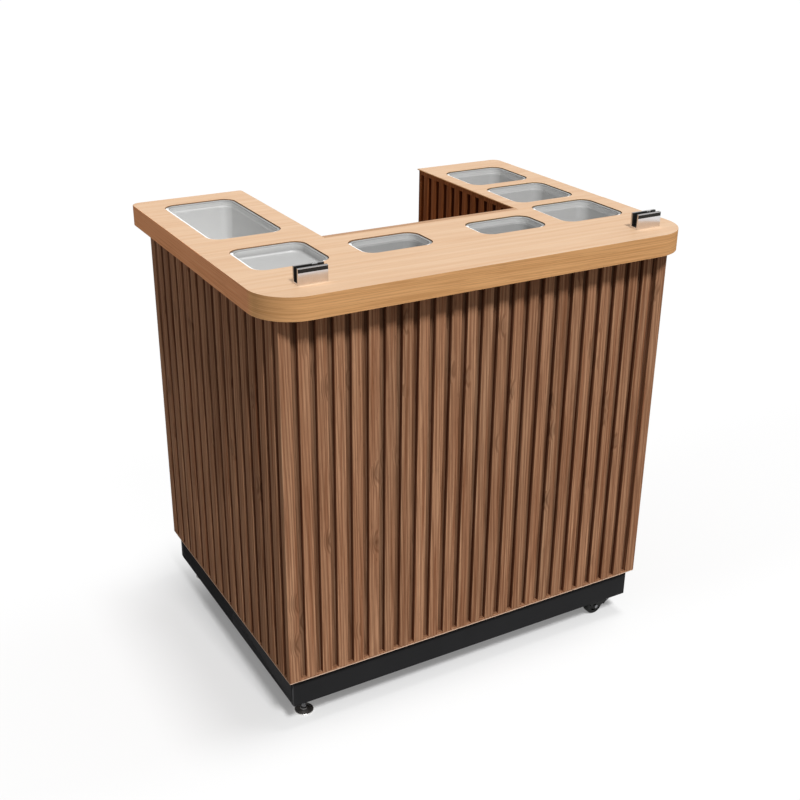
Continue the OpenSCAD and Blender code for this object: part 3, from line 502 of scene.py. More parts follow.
tyreRubber = makeSheen("tyreRubber", dict(
    gloss=0.2, light="0D0D0D", dark="090909", rough=0.5, spread=0.06, relief=0.3,
    stretch=[1500] * 3, cloudScale=70, reliefSize=0.0003))
clampRubber = makeSheen("clampRubber", dict(
    gloss=0.3, light="161616", dark="0E0E0E", rough=0.55, spread=0.06, relief=0.3,
    stretch=[1200] * 3, cloudScale=80))
print("materials ready")


# Geometry Nodes: a tree with named inputs, run once on an empty piece

def newTree(name, lengths, counts):
    tree = bpy.data.node_groups.new(name, "GeometryNodeTree")
    tree.interface.new_socket("Geometry", in_out="OUTPUT", socket_type="NodeSocketGeometry")
    for kind, labels in (("Float", lengths), ("Int", counts), ("Material", ["Material"])):
        for label in labels:
            tree.interface.new_socket(label, in_out="INPUT", socket_type="NodeSocket" + kind)
    return tree, addNode(tree, "NodeGroupInput").outputs, addNode(tree, "NodeGroupOutput").inputs[0]


def realized(tree, geometry):
    return made(tree, "GeometryNodeRealizeInstances", {0: geometry})


def finishTree(tree, geometry, given, sink):
    whole = made(tree, "GeometryNodeSetMaterial", {
        "Geometry": realized(tree, geometry), "Material": given["Material"]})
    tree.links.new(whole, sink)


def runTree(name, tree, values, place):
    piece = newPiece(name, bpy.data.meshes.new(name))
    build = piece.modifiers.new("build", "NODES")
    build.node_group = tree
    for item in tree.interface.items_tree:
        if item.in_out == "INPUT":
            build[item.identifier] = values[item.name]
    bake(piece)
    useMaterial(piece, values["Material"])
    for face in piece.data.polygons:
        face.material_index = 0
    piece.data.transform(place)
    return piece


def joined(tree, *pieces):
    node = addNode(tree, "GeometryNodeJoinGeometry")
    for piece in pieces:
        tree.links.new(piece, node.inputs[0])
    return node.outputs[0]


def shifted(tree, geometry, way):
    return made(tree, "GeometryNodeTransform", {"Geometry": geometry, "Translation": way})


def boxBetween(tree, low, high):  # a box from two corners
    size = vectorCalc(tree, "SUBTRACT", high, low)
    middle = vectorCalc(tree, "MULTIPLY", vectorCalc(tree, "ADD", high, low), (0.5, 0.5, 0.5))
    return shifted(tree, addNode(tree, "GeometryNodeMeshCube", {"Size": size}).outputs["Mesh"], middle)


def position(tree):
    return parts(tree, made(tree, "GeometryNodeInputPosition"))


def stored(tree, geometry, name, value, domain="POINT"):
    return made(tree, "GeometryNodeStoreNamedAttribute", {
        "Geometry": geometry, "Name": name, "Value": value}, data_type="FLOAT", domain=domain)


def chance(tree, low, high, seed):
    return addNode(tree, "FunctionNodeRandomValue", {
        2: low, 3: high, "Seed": seed}, data_type="FLOAT").outputs[1]


def pulled(tree, mesh, top, rise):  # pulls the chosen faces straight up
    return addNode(tree, "GeometryNodeExtrudeMesh", {
        "Mesh": mesh, "Selection": top, "Offset": point(tree, z=1.0), "Offset Scale": rise,
        "Individual": False}).outputs


def closed(tree, mesh, face, weld=1e-6):  # closes a pulled mesh with its first face, turned over
    foot = made(tree, "GeometryNodeFlipFaces", {"Mesh": face})
    return made(tree, "GeometryNodeMergeByDistance", {
        "Geometry": joined(tree, mesh, foot), "Distance": weld})


# Fluted boards: slats with softened edges on a backing board, face towards -Y

casing = {
    "shape": {"Groove": 0.016, "Depth": 0.012, "Base": 0.006, "Foot Strip": 0.005, "Edge Radius": 0.0009},
    "headRail": 0.010, "plainEnd": 0.010, "frontSlat": 0.024, "sideSlat": 0.031, "edgeSteps": 3,
    "postEdge": 0.0008, "smooth": 40,
    "level": 0.9,  # a face whose normal rises more than this counts as level
    "buried": 0.001,  # how far a slat's back lies in the backing board
    "skin": 0.0002,  # how far a groove's floor stands out from the backing board
    "weld": 1e-5,
    "chances": {"tone": (-1.0, 1.0, 0), "shift": (0.0, 9.0, 50)},  # lowest, highest, step of the seed
    "seeds": {"casingFront": 3, "casingLeft": 11, "casingRight": 19, "casingRearLeft": 27,
              "casingRearRight": 35, "liningLeft": 43, "liningRight": 51, "liningFront": 59},
    "plainLook": {"tone": 0.0, "shift": 4.4},
    "postLook": {"tone": (0.4, -0.1), "shift": (2.2, 6.1)},  # left posts, right posts
}
onFace = 0.001  # what lies this close to a face counts as on it


def makeFlutedTree(s):
    tree, given, sink = newTree("flutedBoard", (
        "Length", "Height", "Slat Width", "Groove", "Depth", "Base", "Foot Strip", "Head Rail",
        "Edge Radius"), ("Slats", "Seed"))
    length, height, width, groove = (given[key] for key in ("Length", "Height", "Slat Width", "Groove"))
    depth, foot, count = (given[key] for key in ("Depth", "Foot Strip", "Slats"))
    halfWidth, halfGroove = times(tree, width, 0.5), times(tree, groove, 0.5)
    slatDepth = plus(tree, depth, s["buried"])
    railFoot = minus(tree, height, given["Head Rail"])
    rear = plus(tree, depth, given["Base"])

    def repeated(shape, number, start):  # one copy at each slat's pitch
        spots = made(tree, "GeometryNodeMeshLine", {
            "Count": number, "Start Location": start, "Offset": point(tree, plus(tree, width, groove))},
            mode="OFFSET")
        return made(tree, "GeometryNodeInstanceOnPoints", {"Points": spots, "Instance": shape})

    outline = made(tree, "GeometryNodeCurvePrimitiveQuadrilateral", {
        "Width": width, "Height": slatDepth})
    outline = made(tree, "GeometryNodeFilletCurve", {
        "Curve": outline, "Count": s["edgeSteps"], "Radius": given["Edge Radius"]}, mode="POLY")
    face = made(tree, "GeometryNodeFillCurve", {"Curve": outline}, mode="NGONS")
    slat = closed(tree, pulled(tree, face, True, minus(tree, railFoot, foot))["Mesh"], face, s["weld"])
    # 'across' runs from -1 to 1 over each slat, for its walls' painted shade and its edges' painted highlight
    slat = stored(tree, slat, "across", divided(tree, position(tree)[0], halfWidth))
    start = point(tree, plus(tree, groove, halfWidth), times(tree, slatDepth, 0.5), foot)
    slats = repeated(slat, count, start)
    for name, (lowest, highest, step) in s["chances"].items():
        drawn = chance(tree, lowest, highest, plus(tree, given["Seed"], step))
        slats = stored(tree, slats, name, drawn, "INSTANCE")

    floor = boxBetween(tree, point(tree, times(tree, halfGroove, -1.0), minus(tree, depth, s["skin"]), foot),
                       point(tree, halfGroove, slatDepth, railFoot))
    # 'corner' runs from -1 to 1 across each groove's floor, for the painted shade at its sides
    floor = stored(tree, floor, "corner", divided(tree, position(tree)[0], halfGroove))
    floors = repeated(floor, plus(tree, count, 1.0), point(tree, halfGroove))
    back = boxBetween(tree, point(tree, 0.0, depth, foot), point(tree, length, rear, railFoot))
    strip = boxBetween(tree, point(tree), point(tree, length, rear, foot))
    rail = boxBetween(tree, point(tree, 0.0, 0.0, railFoot), point(tree, length, rear, height))
    hasRail = calc(tree, "GREATER_THAN", given["Head Rail"], 0.0)
    rail = made(tree, "GeometryNodeSwitch", {0: hasRail, 2: rail}, input_type="GEOMETRY")
    whole = joined(tree, realized(tree, slats), realized(tree, floors), back, strip, rail)
    # 'deep' grows from the slats' face to the backing board, for the painted shade in the grooves; 'height'
    # is for the painted highlight along the foot
    place = position(tree)
    whole = stored(tree, whole, "deep", divided(tree, place[1], depth))
    whole = stored(tree, whole, "height", plus(tree, place[2], 1.0))
    finishTree(tree, whole, given, sink)
    return tree


flutedTree = makeFlutedTree(casing)


def fluted(name, node, corner, angle, length, slat="frontSlat", rail=0.0, wood=walnut, s=casing):
    low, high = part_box(node)
    groove = s["shape"]["Groove"]
    count = max(1, round((length - groove) / (s[slat] + groove)))
    place = Matrix.Translation(corner) @ Matrix.Rotation(math.radians(angle), 4, "Z")
    piece = runTree(name, flutedTree, {
        **s["shape"], "Length": length, "Height": high.z - low.z, "Slats": count,
        "Slat Width": (length - (count + 1) * groove) / count, "Head Rail": rail,
        "Seed": s["seeds"][name], "Material": wood}, place)
    return smoothByAngle(piece, s["smooth"])


def addPlain(piece, low, high):  # adds a plain block to a fluted board
    work = bmesh.new()
    work.from_mesh(piece.data)
    size = Vector(high) - Vector(low)
    place = Matrix.Translation((Vector(high) + Vector(low)) / 2) @ Matrix.Diagonal((*size, 1))
    block = bmesh.ops.create_cube(work, size=1.0, matrix=place)
    for key, value in casing["plainLook"].items():
        layer = work.verts.layers.float[key]
        for vert in block["verts"]:
            vert[layer] = value
    work.to_mesh(piece.data)
    work.free()


def makeCasing(s):
    plain = s["plainEnd"]

    def board(name, node, corner, angle, length, block=None, **finish):
        piece = fluted(name, node, corner, angle, length, **finish)
        if block:
            addPlain(piece, *block)
        return settle(piece, "counter", "walnut_casing", node)

    low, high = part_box("cladding_front")
    board("casingFront", "cladding_front", low, 0, high.x - low.x)
    low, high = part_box("cladding_left")
    board("casingLeft", "cladding_left", (low.x, high.y, low.z), -90, high.y - low.y, slat="sideSlat")
    low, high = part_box("cladding_right")
    board("casingRight", "cladding_right", (high.x, low.y, low.z), 90, high.y - low.y, slat="sideSlat")

    low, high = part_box("cladding_rear")
    left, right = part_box("lining_left")[0].x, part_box("lining_right")[1].x
    board("casingRearLeft", "cladding_rear", (left - plain, high.y, low.z), 180, left - plain - low.x,
          ((left - plain, low.y, low.z), (left, high.y, high.z)))
    board("casingRearRight", "cladding_rear", (high.x, high.y, low.z), 180, high.x - right - plain,
          ((right, low.y, low.z), (right + plain, high.y, high.z)))

    finish = {"rail": s["headRail"], "wood": walnutLining}
    for side, angle in (("left", 90), ("right", -90)):
        node = "lining_" + side
        low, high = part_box(node)
        end = high.y - plain
        corner = (high.x, low.y, low.z) if side == "left" else (low.x, end, low.z)
        board("lining" + side.title(), node, corner, angle, end - low.y,
              ((low.x, end, low.z), high), **finish)
    low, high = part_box("lining_front")
    piece = board("liningFront", "lining_front", (high.x, high.y, low.z), 180, high.x - low.x, **finish)
    # painted highlight: the front lining's top faces take the paler cap walnut
    piece.data.materials.append(walnutCapHighlight)
    for face in piece.data.polygons:
        if face.normal.z > s["level"] and face.center.z > high.z - onFace:
            face.material_index = 1

    posts = mergedCopy("cornerPosts", ["corner_posts"])
    for key, (left, right) in s["postLook"].items():
        storeFloat(posts.data, key, [left if v.co.x < 0 else right for v in posts.data.vertices])
    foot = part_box("corner_posts")[0].z
    storeFloat(posts.data, "height", [1 + v.co.z - foot for v in posts.data.vertices])
    softenEdges(posts, s["postEdge"])
    useMaterial(posts, walnut)
    settle(posts, "counter", "walnut_casing", "corner_posts")


makeCasing(casing)
print("casing ready")


# Worktop boards: crisp softened edges, a fine seam, and a band of edge grain

worktop = {
    "edge": 0.0022, "edgeSteps": 3, "recessShare": 0.28, "seamShare": 0.1, "footShare": 0.6,
    "radius": 0.095, "recessMargin": 0.004, "sharp": 30, "flat": 0.6, "slack": 1e-4,
    # painted light and shade along the left edge and its corner: the share of the corner's turn, and the
    # painted level there
    "paintedEdgeLights": ((0.0, 1.0), (0.2, -0.4), (1.0, 0.0)),
    "boards": {"worktopFront": ("worktop_front", 0.2, 0.0), "worktopLeft": ("worktop_left", 0.3, 1.3),
               "worktopRight": ("worktop_right", 0.1, 2.9)},  # node, tone, shift
}


def edgeRun(x, y, low, high, radius):  # distance along the worktop's outer edge
    side = high.y - low.y - radius
    turn = radius * math.pi / 2
    front = high.x - low.x - 2 * radius
    if y > low.y + radius:
        return high.y - y if x < (low.x + high.x) / 2 else side + 2 * turn + front + y - low.y
    if x < low.x + radius:
        return side + radius * math.atan2(low.y + radius - y, low.x + radius - x)
    if x > high.x - radius:
        return side + turn + front + radius * math.atan2(x - high.x + radius, low.y + radius - y)
    return side + turn + x - low.x - radius


def edgeLightAt(place, edgeLights):  # reads the painted edge light off straight lines between the given ones
    for (start, first), (end, last) in zip(edgeLights, edgeLights[1:]):
        if place < end:
            return first + (last - first) * max(0.0, place - start) / (end - start)
    return edgeLights[-1][1]


def makeWorktop(s):
    panBoxes = [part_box(node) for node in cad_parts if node.startswith("pan_")]
    low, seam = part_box("worktop_front")
    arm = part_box("worktop_left")[1]
    high = Vector((seam.x, arm.y, arm.z))
    bayLeft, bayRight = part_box("lining_left")[1].x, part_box("lining_right")[0].x
    margin, slack = s["recessMargin"], s["slack"]

    def inRecess(p):
        return any(a.x - margin < p.x < b.x + margin and a.y - margin < p.y < b.y + margin
                   for a, b in panBoxes)

    def softness(a, b):  # the share of the full softening that an edge gets
        middle = (a + b) / 2
        onTop = middle.z > high.z - onFace
        if abs(a.z - b.z) > slack:
            return 0.0
        if onTop and abs(a.y - seam.y) < slack and abs(b.y - seam.y) < slack:
            return 1.0 if bayLeft <= middle.x <= bayRight else s["seamShare"]
        if inRecess(middle):
            return s["recessShare"] if onTop else 0.0
        if onTop:
            return 1.0
        return s["footShare"] if middle.z < low.z + onFace else 0.0

    for name, (node, tone, shift) in s["boards"].items():
        piece = mergedCopy(name, [node])
        work = bmesh.new()
        work.from_mesh(piece.data)
        weight = work.edges.layers.float.new("bevel_weight_edge")
        for edge in work.edges:
            if len(edge.link_faces) == 2 and edge.calc_face_angle(0) >= math.radians(s["sharp"]):
                edge.smooth = False
                edge[weight] = softness(*(v.co for v in edge.verts))
        work.to_mesh(piece.data)
        work.free()
        softenEdges(piece, s["edge"], s["edgeSteps"], byWeight=True)
        mesh = piece.data
        runs = [edgeRun(v.co.x, v.co.y, low, high, s["radius"]) for v in mesh.vertices]
        side, turn = high.y - low.y - s["radius"], s["radius"] * math.pi / 2
        edgeLights = [edgeLightAt((run - side) / turn, s["paintedEdgeLights"]) for run in runs]
        for key, values in (("tone", tone), ("shift", shift), ("run", runs), ("paintedEdgeLight", edgeLights)):
            storeFloat(mesh, key, values)
        useMaterial(piece, oakTop, oakEdge, oakRecessShade)
        # the upright faces inside the pans' recesses take the painted-shade oak
        for face in mesh.polygons:
            flat = abs(face.normal.z) > s["flat"]
            face.material_index = 0 if flat else 2 if inRecess(face.center) else 1
        settle(piece, "counter", "oak_top", node)


makeWorktop(worktop)
print("worktop ready")


# Plinth, decks, shelf and carcass

boards = {
    "plinthEdge": 0.0006, "insideEdge": 0.0005, "shiftStep": 1.7, "tone": 0.0,
    "leftSkin": 0.0003, "leftPaintedLight": 4.2,  # painted light: the left plinth's outer face, which lies in shade, is painted paler
    "plinth": ["plinth_front", "plinth_rear", "plinth_left", "plinth_right"],
    "inside": {"griddleDeck": ["bay_deck"], "bottomDeck": ["bottom_deck"], "storageShelf": ["storage_shelf"],
               "partitions": ["partition_left", "partition_right"]},
    "ply": ["carcass_front", "carcass_left", "carcass_right", "carcass_ends", "bay_back", "cleats",
            "foot_blocks", "castor_blocks"],
}


def makeBoards(s):
    plinth = mergedCopy("plinthBoards", s["plinth"])
    softenEdges(plinth, s["plinthEdge"])
    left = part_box("plinth_left")[0].x + s["leftSkin"]
    storeFloat(plinth.data, "level", [s["leftPaintedLight"] if v.co.x < left else 1.0 for v in plinth.data.vertices])
    useMaterial(plinth, plinthBlack)
    settle(plinth, "counter", "black_plinth", *s["plinth"])
    for number, (name, nodes) in enumerate(s["inside"].items(), 1):
        piece = mergedCopy(name, nodes)
        softenEdges(piece, s["insideEdge"])
        storeFloat(piece.data, "shift", number * s["shiftStep"])
        storeFloat(piece.data, "tone", s["tone"])
        useMaterial(piece, walnutUpright if name == "partitions" else walnutInside)
        settle(piece, "counter", "walnut_inside", *nodes)
    for node in s["ply"]:
        useMaterial(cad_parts[node], plyBoard)


makeBoards(boards)
print("boards ready")


# Drawn pans: the section runs from the inner floor over the rim and down outside

panShape = {
    "rimWidth": 0.006, "rimRadius": 0.030, "rimEdge": 0.0006, "edgeMiddle": 0.3, "roll": 0.0024, "lip": 0.002,
    "bend": 0.002, "underBend": 0.0008, "sheet": 0.0008, "shoulderDown": 0.012, "shoulderIn": 0.0011,
    "shoulderTall": 0.005, "shoulderSteps": 4, "slope": 2.5, "cornerFall": 0.45, "shallow": 0.03,
    "floorRadius": 0.014, "trayRadius": 0.005, "cornerSteps": 12, "turnSteps": 6, "crown": 0.0006,
    # painted light on the steel: a painted highlight on the near rims, painted shade on the far rims with a
    # painted shadow line at their outer edge, and painted shade on the walls below the shoulder and on the
    # floors, by pan
    "nearRimHighlight": 1.18, "farRimShade": 0.4, "farTurn": 0.6, "gapShadowWidth": 0.0014, "gapShadowLevel": 0.2, "bandPaintedLevel": 0.82,
    "lowerWallShade": {"third": 0.77, "tray": 0.53, "ninth": 0.49, "sixth": 0.63},
    "slack": 1e-5, "smooth": 50,
}


def panSection(depth, s):  # points as inset from the rim's outline, and height
    radius = s["trayRadius"] if depth < s["shallow"] else s["floorRadius"]
    step = s["shoulderIn"] if depth > s["shoulderDown"] + radius + s["shoulderTall"] else 0.0
    quarter = [math.pi / 2 * i / s["turnSteps"] for i in range(s["turnSteps"] + 1)]
    width, bend, sheet, edge = s["rimWidth"], s["bend"], s["sheet"], s["rimEdge"]

    def floorTurn(r):
        top = radius - depth
        lean = max(0.0, -top - s["shoulderDown"]) * math.tan(math.radians(s["slope"]))
        inside = width + step + lean + radius
        return [(inside - r * math.sin(a), top - r * math.cos(a)) for a in quarter]

    def rimTurn(r):
        return [(width - bend + r * math.sin(a), -bend + r * math.cos(a)) for a in quarter]

    def shoulder(thick):  # an S-shaped step
        if not step:
            return []
        count = s["shoulderSteps"]
        return [(width - thick + step * (0.5 + 0.5 * math.cos(math.pi * i / count)),
                 -s["shoulderDown"] - s["shoulderTall"] * (1 - i / count)) for i in range(count + 1)]

    under = [(width, -bend - s["underBend"])]  # the dull line of the bend ends here
    middle = edge * s["edgeMiddle"]
    rim = [(edge, 0.0), (middle, -middle), (0.0, -edge), (0.0, -s["roll"]), (s["lip"], -s["roll"]),
           (s["lip"], -sheet)]
    return (floorTurn(radius) + shoulder(0.0) + under + rimTurn(bend)[::-1] + rim
            + rimTurn(bend - sheet) + shoulder(sheet)[::-1] + floorTurn(radius + sheet)[::-1])


def rimShade(sx, sy, turn, inset, s):  # painted shade on the rim's right and rear sides, darkest in a painted shadow line at its outer edge; painted highlight on the rest
    early, late = turn < s["farTurn"], turn > 1 - s["farTurn"]
    if not (sx + sy > 0 or sx < 0 < sy and early or sy < 0 < sx and late):
        return s["nearRimHighlight"]
    return s["gapShadowLevel"] if inset < s["gapShadowWidth"] else s["farRimShade"]


def makePan(name, node, body, s):
    low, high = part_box(node)
    middle = (low + high) / 2
    width, length = high.x - low.x, high.y - low.y
    steps = s["cornerSteps"]
    wall = s["lowerWallShade"][node.split("_")[1]]
    work = bmesh.new()
    shade = work.verts.layers.float.new("level")
    rings = []
    for inset, z in panSection(high.z - low.z - s["sheet"], s):
        onRim = z > -s["bend"] - s["slack"]
        # painted level: the band above the shoulder, painted shade on the walls and floor below it
        side = s["bandPaintedLevel"] if z > -s["shoulderDown"] - s["slack"] else wall
        radius = s["rimRadius"] - s["cornerFall"] * inset
        ring = []
        for corner, (sx, sy) in enumerate(((1, 1), (-1, 1), (-1, -1), (1, -1))):
            for i in range(steps + 1):
                a = math.pi / 2 * (corner + i / steps)
                x = middle.x + sx * (width / 2 - inset - radius) + radius * math.cos(a)
                y = middle.y + sy * (length / 2 - inset - radius) + radius * math.sin(a)
                vert = work.verts.new((x, y, high.z + z))
                vert[shade] = rimShade(sx, sy, i / steps, inset, s) if onRim else side
                ring.append(vert)
        rings.append(ring)
    count = len(rings[0])
    for lower, upper in zip(rings, rings[1:]):
        for i in range(count):
            k = (i + 1) % count
            work.faces.new((lower[i], lower[k], upper[k], upper[i]))
    for ring, order in ((rings[0], -1), (rings[-1], 1)):  # both floors, raised a little in the middle
        inner = []
        for v in ring:
            x, y = (v.co.x + middle.x) / 2, (v.co.y + middle.y) / 2
            inner.append(work.verts.new((x, y, v.co.z + s["crown"] / 2)))
            inner[-1][shade] = wall
        for i in range(count):
            k = (i + 1) % count
            work.faces.new((ring[i], ring[k], inner[k], inner[i])[::order])
        work.faces.new(inner[::order])
    bmesh.ops.recalc_face_normals(work, faces=work.faces)
    mesh = bpy.data.meshes.new(name)
    work.to_mesh(mesh)
    work.free()
    piece = smoothByAngle(newPiece(name, mesh), s["smooth"])
    useMaterial(piece, panSteel)
    settle(piece, body, "pan_steel", node)


for kind in ("third", "tray", "ninth_left", "ninth_right", "sixth_front", "sixth_middle", "sixth_rear"):
    makePan("pan" + kind.title().replace("_", ""), "pan_" + kind, kind + "_pan", panShape)
print("pans ready")


# Turned parts built by rule: screws and pins on a grid of points, and the feet's threaded stems

turned = {
    "facets": 24, "tip": 0.6, "chamfer": 0.35,  # tip's radius and chamfer's height over the shank's radius
    "head": ((0.55, 1.0), (0.3, 0.93), (0.15, 0.8)),  # share of the head's height, change of radius
    "socketTaper": 0.9, "spin": 6.28, "inset": 0.0001, "smooth": 35,
    "castorScrews": {
        "Shank Radius": 0.0027, "Head Radius": 0.0046, "Head Height": 0.002, "Socket Share": 0.62,
        "Socket Depth": 0.001, "Columns": 2, "Rows": 2, "Width": 0.037, "Length": 0.037},
    "clampScrews": {
        "Shank Radius": 0.0024, "Head Radius": 0.0042, "Head Height": 0.002, "Socket Share": 0.62,
        "Socket Depth": 0.001, "Columns": 2, "Rows": 1, "Width": 0.033, "Length": 0.0},
    "shelfPins": {
        "Shank Radius": 0.00245, "Head Radius": 0.0025, "Head Height": 0.001, "Socket Share": 0.5,
        "Socket Depth": 0.0004, "Columns": 1, "Rows": 2, "Width": 0.0},
    "pinReach": 0.018, "seeds": {"castorScrews": (5, 6), "clampScrews": (15, 16), "shelfPins": (25, 25)},
    "stem": {"Radius": 0.00495, "Thread Depth": 0.0005, "Pitch": 0.0015, "Hexagon Radius": 0.0062,
             "Hexagon Foot": 0.002, "Hexagon Height": 0.004, "Facets": 20},
    "shaftEnd": (0.2, 0.8),  # the chamfer's height over the radius, and the end's radius over the full one
    "hexagonEnd": (0.12, 0.93),  # the same, but its height over the hexagon's height
}


def disc(tree, facets, radius):
    return made(tree, "GeometryNodeMeshCircle", {
        "Vertices": facets, "Radius": radius}, fill_type="NGON")


def grown(tree, mesh, top, *steps):  # pulls the top face up by each step's length, then scales it
    for rise, scale in steps:
        raised = pulled(tree, mesh, top, rise)
        top = raised["Top"]
        mesh = made(tree, "GeometryNodeScaleElements", {
            "Geometry": raised["Mesh"], "Selection": top, "Scale": scale})
    return mesh, top


def rod(tree, facets, radius, length, bite, share):  # a round or six-sided rod, both ends chamfered
    foot = disc(tree, facets, times(tree, radius, share))
    straight = minus(tree, length, times(tree, bite, 2.0))
    mesh, _ = grown(tree, foot, True, (bite, 1 / share), (straight, 1.0), (bite, share))
    return closed(tree, mesh, foot)


def makeScrewTree(s):  # a turned tip, shank and head with a hexagon socket, standing on its tip
    tree, given, sink = newTree("screws", (
        "Shank Radius", "Shank Length", "Head Radius", "Head Height", "Socket Share", "Socket Depth", "Width",
        "Length"), ("Columns", "Rows", "Facets", "Seed"))
    shank = given["Shank Radius"]
    chamfer = times(tree, shank, s["chamfer"])
    tip = disc(tree, given["Facets"], times(tree, shank, s["tip"]))
    mesh, top = grown(
        tree, tip, True, (chamfer, 1 / s["tip"]),
        (minus(tree, given["Shank Length"], chamfer), divided(tree, given["Head Radius"], shank)),
        *[(times(tree, given["Head Height"], rise), scale) for rise, scale in s["head"]],
        (0.0, given["Socket Share"]))
    place = position(tree)  # the socket's rim is drawn in from a circle to a hexagon
    sixth = math.pi / 3
    turn = calc(tree, "WRAP", calc(tree, "ARCTAN2", place[1], place[0]), sixth / 2, -sixth / 2)
    flat = divided(tree, math.cos(sixth / 2), calc(tree, "COSINE", turn))
    drawn = point(tree, times(tree, place[0], flat), times(tree, place[1], flat), place[2])
    mesh = made(tree, "GeometryNodeSetPosition", {
        "Geometry": mesh, "Selection": top, "Position": drawn})
    mesh, _ = grown(tree, mesh, top, (times(tree, given["Socket Depth"], -1.0), s["socketTaper"]))
    spots = made(tree, "GeometryNodeMeshGrid", {
        "Size X": given["Width"], "Size Y": given["Length"], "Vertices X": given["Columns"],
        "Vertices Y": given["Rows"]})
    placed = made(tree, "GeometryNodeInstanceOnPoints", {
        "Points": spots, "Instance": closed(tree, mesh, tip),
        "Rotation": point(tree, z=chance(tree, 0.0, s["spin"], given["Seed"]))})
    finishTree(tree, placed, given, sink)
    return tree


def makeStemTree(s):  # a core with a thread wound round it, and a hexagon to turn it by
    tree, given, sink = newTree("threadedStem", (
        "Radius", "Thread Depth", "Pitch", "Length", "Hexagon Radius", "Hexagon Foot", "Hexagon Height"),
        ["Facets"])
    length, pitch, tall = given["Length"], given["Pitch"], given["Hexagon Height"]
    core = minus(tree, given["Radius"], given["Thread Depth"])
    bite, share = s["shaftEnd"]
    shaft = rod(tree, given["Facets"], core, length, times(tree, core, bite), share)
    bite, share = s["hexagonEnd"]
    nut = rod(tree, 6, given["Hexagon Radius"], tall, times(tree, tall, bite), share)
    nut = shifted(tree, nut, point(tree, z=given["Hexagon Foot"]))

    start = plus(tree, given["Hexagon Foot"], tall)
    wound = minus(tree, minus(tree, length, start), times(tree, pitch, 2.0))
    spiral = made(tree, "GeometryNodeCurveSpiral", {
        "Resolution": given["Facets"], "Rotations": divided(tree, wound, pitch), "Start Radius": core,
        "End Radius": core, "Height": wound})
    spiral = made(tree, "GeometryNodeSetCurveNormal", {"Curve": spiral}, mode="Z_UP")
    ridge = made(tree, "GeometryNodeCurvePrimitiveCircle", {
        "Resolution": 4, "Radius": given["Thread Depth"]})
    thread = made(tree, "GeometryNodeCurveToMesh", {
        "Curve": spiral, "Profile Curve": ridge, "Fill Caps": True})
    thread = shifted(tree, thread, point(tree, z=plus(tree, start, pitch)))
    finishTree(tree, joined(tree, shaft, thread, nut), given, sink)
    return tree


def makeTurned(s):
    screws = makeScrewTree(s)
    over = Matrix.Rotation(math.pi, 4, "X")

    def putScrews(name, label, node, length, spot, number, turn=Matrix(), **sizes):
        values = {**s[name], **sizes, "Shank Length": length - s[name]["Head Height"], "Facets": s["facets"],
                  "Seed": s["seeds"][name][number], "Material": brightZinc}
        piece = runTree(name + label, screws, values, Matrix.Translation(spot) @ turn)
        settle(smoothByAngle(piece, s["smooth"]), "counter", "screw_steel", node)

    low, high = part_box("castor_screws")
    tall = high.z - low.z - 2 * s["inset"]
    for number, end in enumerate(("front", "rear")):
        middle = sum(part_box("castor_plate_" + end), Vector()) / 2
        putScrews("castorScrews", end.title(), "castor_screws", tall,
                  (middle.x, middle.y, high.z - s["inset"]), number, over)
    low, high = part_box("clamp_screws")
    tall = high.z - low.z - 2 * s["inset"]
    for number, side in enumerate(("left", "right")):
        middle = sum(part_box("clamp_" + side), Vector()) / 2
        putScrews("clampScrews", side.title(), "clamp_screws", tall,
                  (middle.x, (low.y + high.y) / 2, low.z + s["inset"]), number)

    low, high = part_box("shelf_pins")
    middle = (low + high) / 2
    span = high.y - low.y - 2 * s["shelfPins"]["Head Radius"]
    for number, (label, x, way) in enumerate((("Left", low.x, 1), ("Right", high.x, -1))):
        putScrews("shelfPins", label, "shelf_pins", s["pinReach"], (x, middle.y, middle.z), number,
                  Matrix.Rotation(way * math.pi / 2, 4, "Y"), Length=span)

    stems = makeStemTree(s)
    for end in ("front", "rear"):
        low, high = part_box("foot_stem_" + end)
        middle = (low + high) / 2
        piece = runTree("footStem" + end.title(), stems, {
            **s["stem"], "Length": high.z - low.z, "Material": darkZinc},
            Matrix.Translation((middle.x, middle.y, low.z)))
        settle(smoothByAngle(piece, s["smooth"]), "stem_" + end, "foot_chrome", "foot_stem_" + end)


makeTurned(turned)
print("screws, pins and stems ready")


# Clamps, feet and castors: welded copies with softened edges

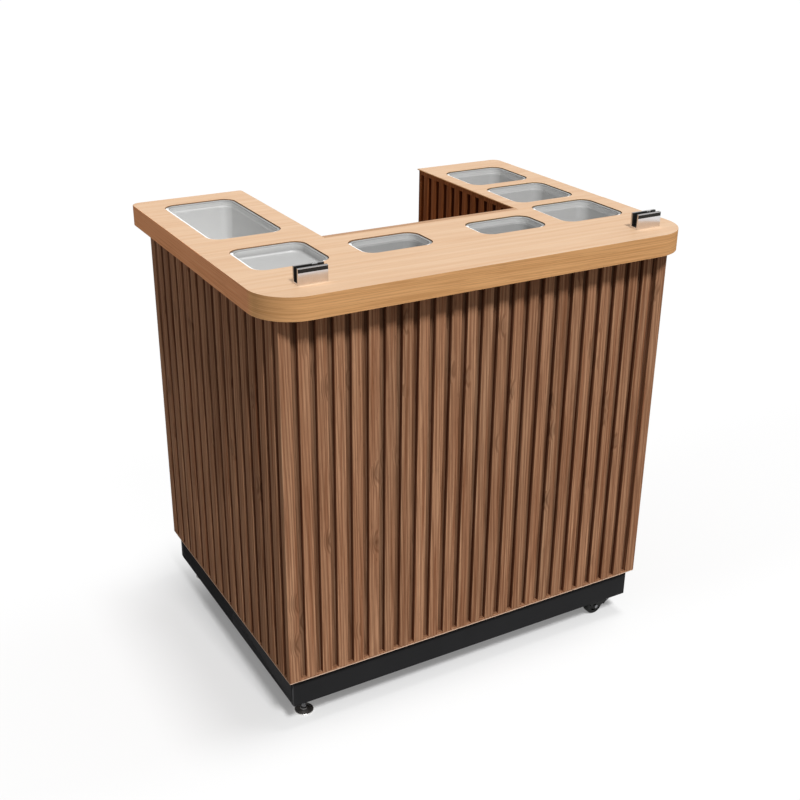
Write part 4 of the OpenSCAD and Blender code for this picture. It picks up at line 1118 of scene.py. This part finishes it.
fittings = {
    # painted reflection: the clamps' top edges are painted darker
    "clampEdge": 0.0005, "clampSteps": 3, "clampTop": 0.0003, "clampTopShade": (0.45, 1.0),
    # painted reflection: the pads' tops are painted darker, and a painted highlight makes their rims paler
    "padEdge": 0.0004, "padSteps": 2, "padSharp": 25, "padRim": 0.0031, "padShadeAndHighlight": (0.35, 1.1),
    "smallEdge": 0.0003,
    "castor": {  # body, slot, finish and softening of each piece
        "Plate": ("counter", "castor_black", castorBlack, 0.0004),
        "Fork": ("castor_", "castor_black", castorBlack, 0.0005),
        "Pins": ("castor_", "screw_steel", darkZinc, 0.0003),
        "Hub": ("wheel_", "wheel_hub", hubPlastic, 0.0004),
        "Tyre": ("wheel_", "wheel_tyre", tyreRubber, 0.0003),
        "Lever": ("brake_", "castor_black", castorBlack, 0.0004)},
}


def dressed(name, node, body, slotName, material, width, segments=2, angle=30):
    piece = mergedCopy(name, [node])
    softenEdges(piece, width, segments, angle)
    useMaterial(piece, material)
    return settle(piece, body, slotName, node)


def storeLevels(piece, height, levels):  # one level above a height, another below it
    above, below = levels
    storeFloat(piece.data, "level", [above if v.co.z > height else below for v in piece.data.vertices])


def makeFittings(s):
    small = s["smallEdge"]
    for side in ("left", "right"):
        node = "clamp_" + side
        clamp = dressed("clamp" + side.title(), node, "counter", "clamp_chrome", clampChrome,
                        s["clampEdge"], s["clampSteps"])
        storeLevels(clamp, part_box(node)[1].z - s["clampTop"], s["clampTopShade"])
    dressed("footInserts", "foot_inserts", "counter", "screw_steel", brightZinc, small)
    dressed("clampPads", "clamp_gaskets", "counter", "clamp_rubber", clampRubber, small)
    for side in ("left", "right"):
        dressed("clampPress" + side.title(), "clamp_press_" + side, "press_" + side, "screw_steel",
                brightZinc, small)
    for end in ("front", "rear"):
        node = "foot_pad_" + end
        pad = dressed("footPad" + end.title(), node, "foot_" + end, "foot_chrome", footChrome,
                      s["padEdge"], s["padSteps"], s["padSharp"])
        storeLevels(pad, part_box(node)[0].z + s["padRim"], s["padShadeAndHighlight"])
        for label, (body, slotName, material, width) in s["castor"].items():
            dressed("castor" + label + end.title(), "castor_" + label.lower() + "_" + end,
                    body + end if body.endswith("_") else body, slotName, material, width)


makeFittings(fittings)
print("fittings ready")
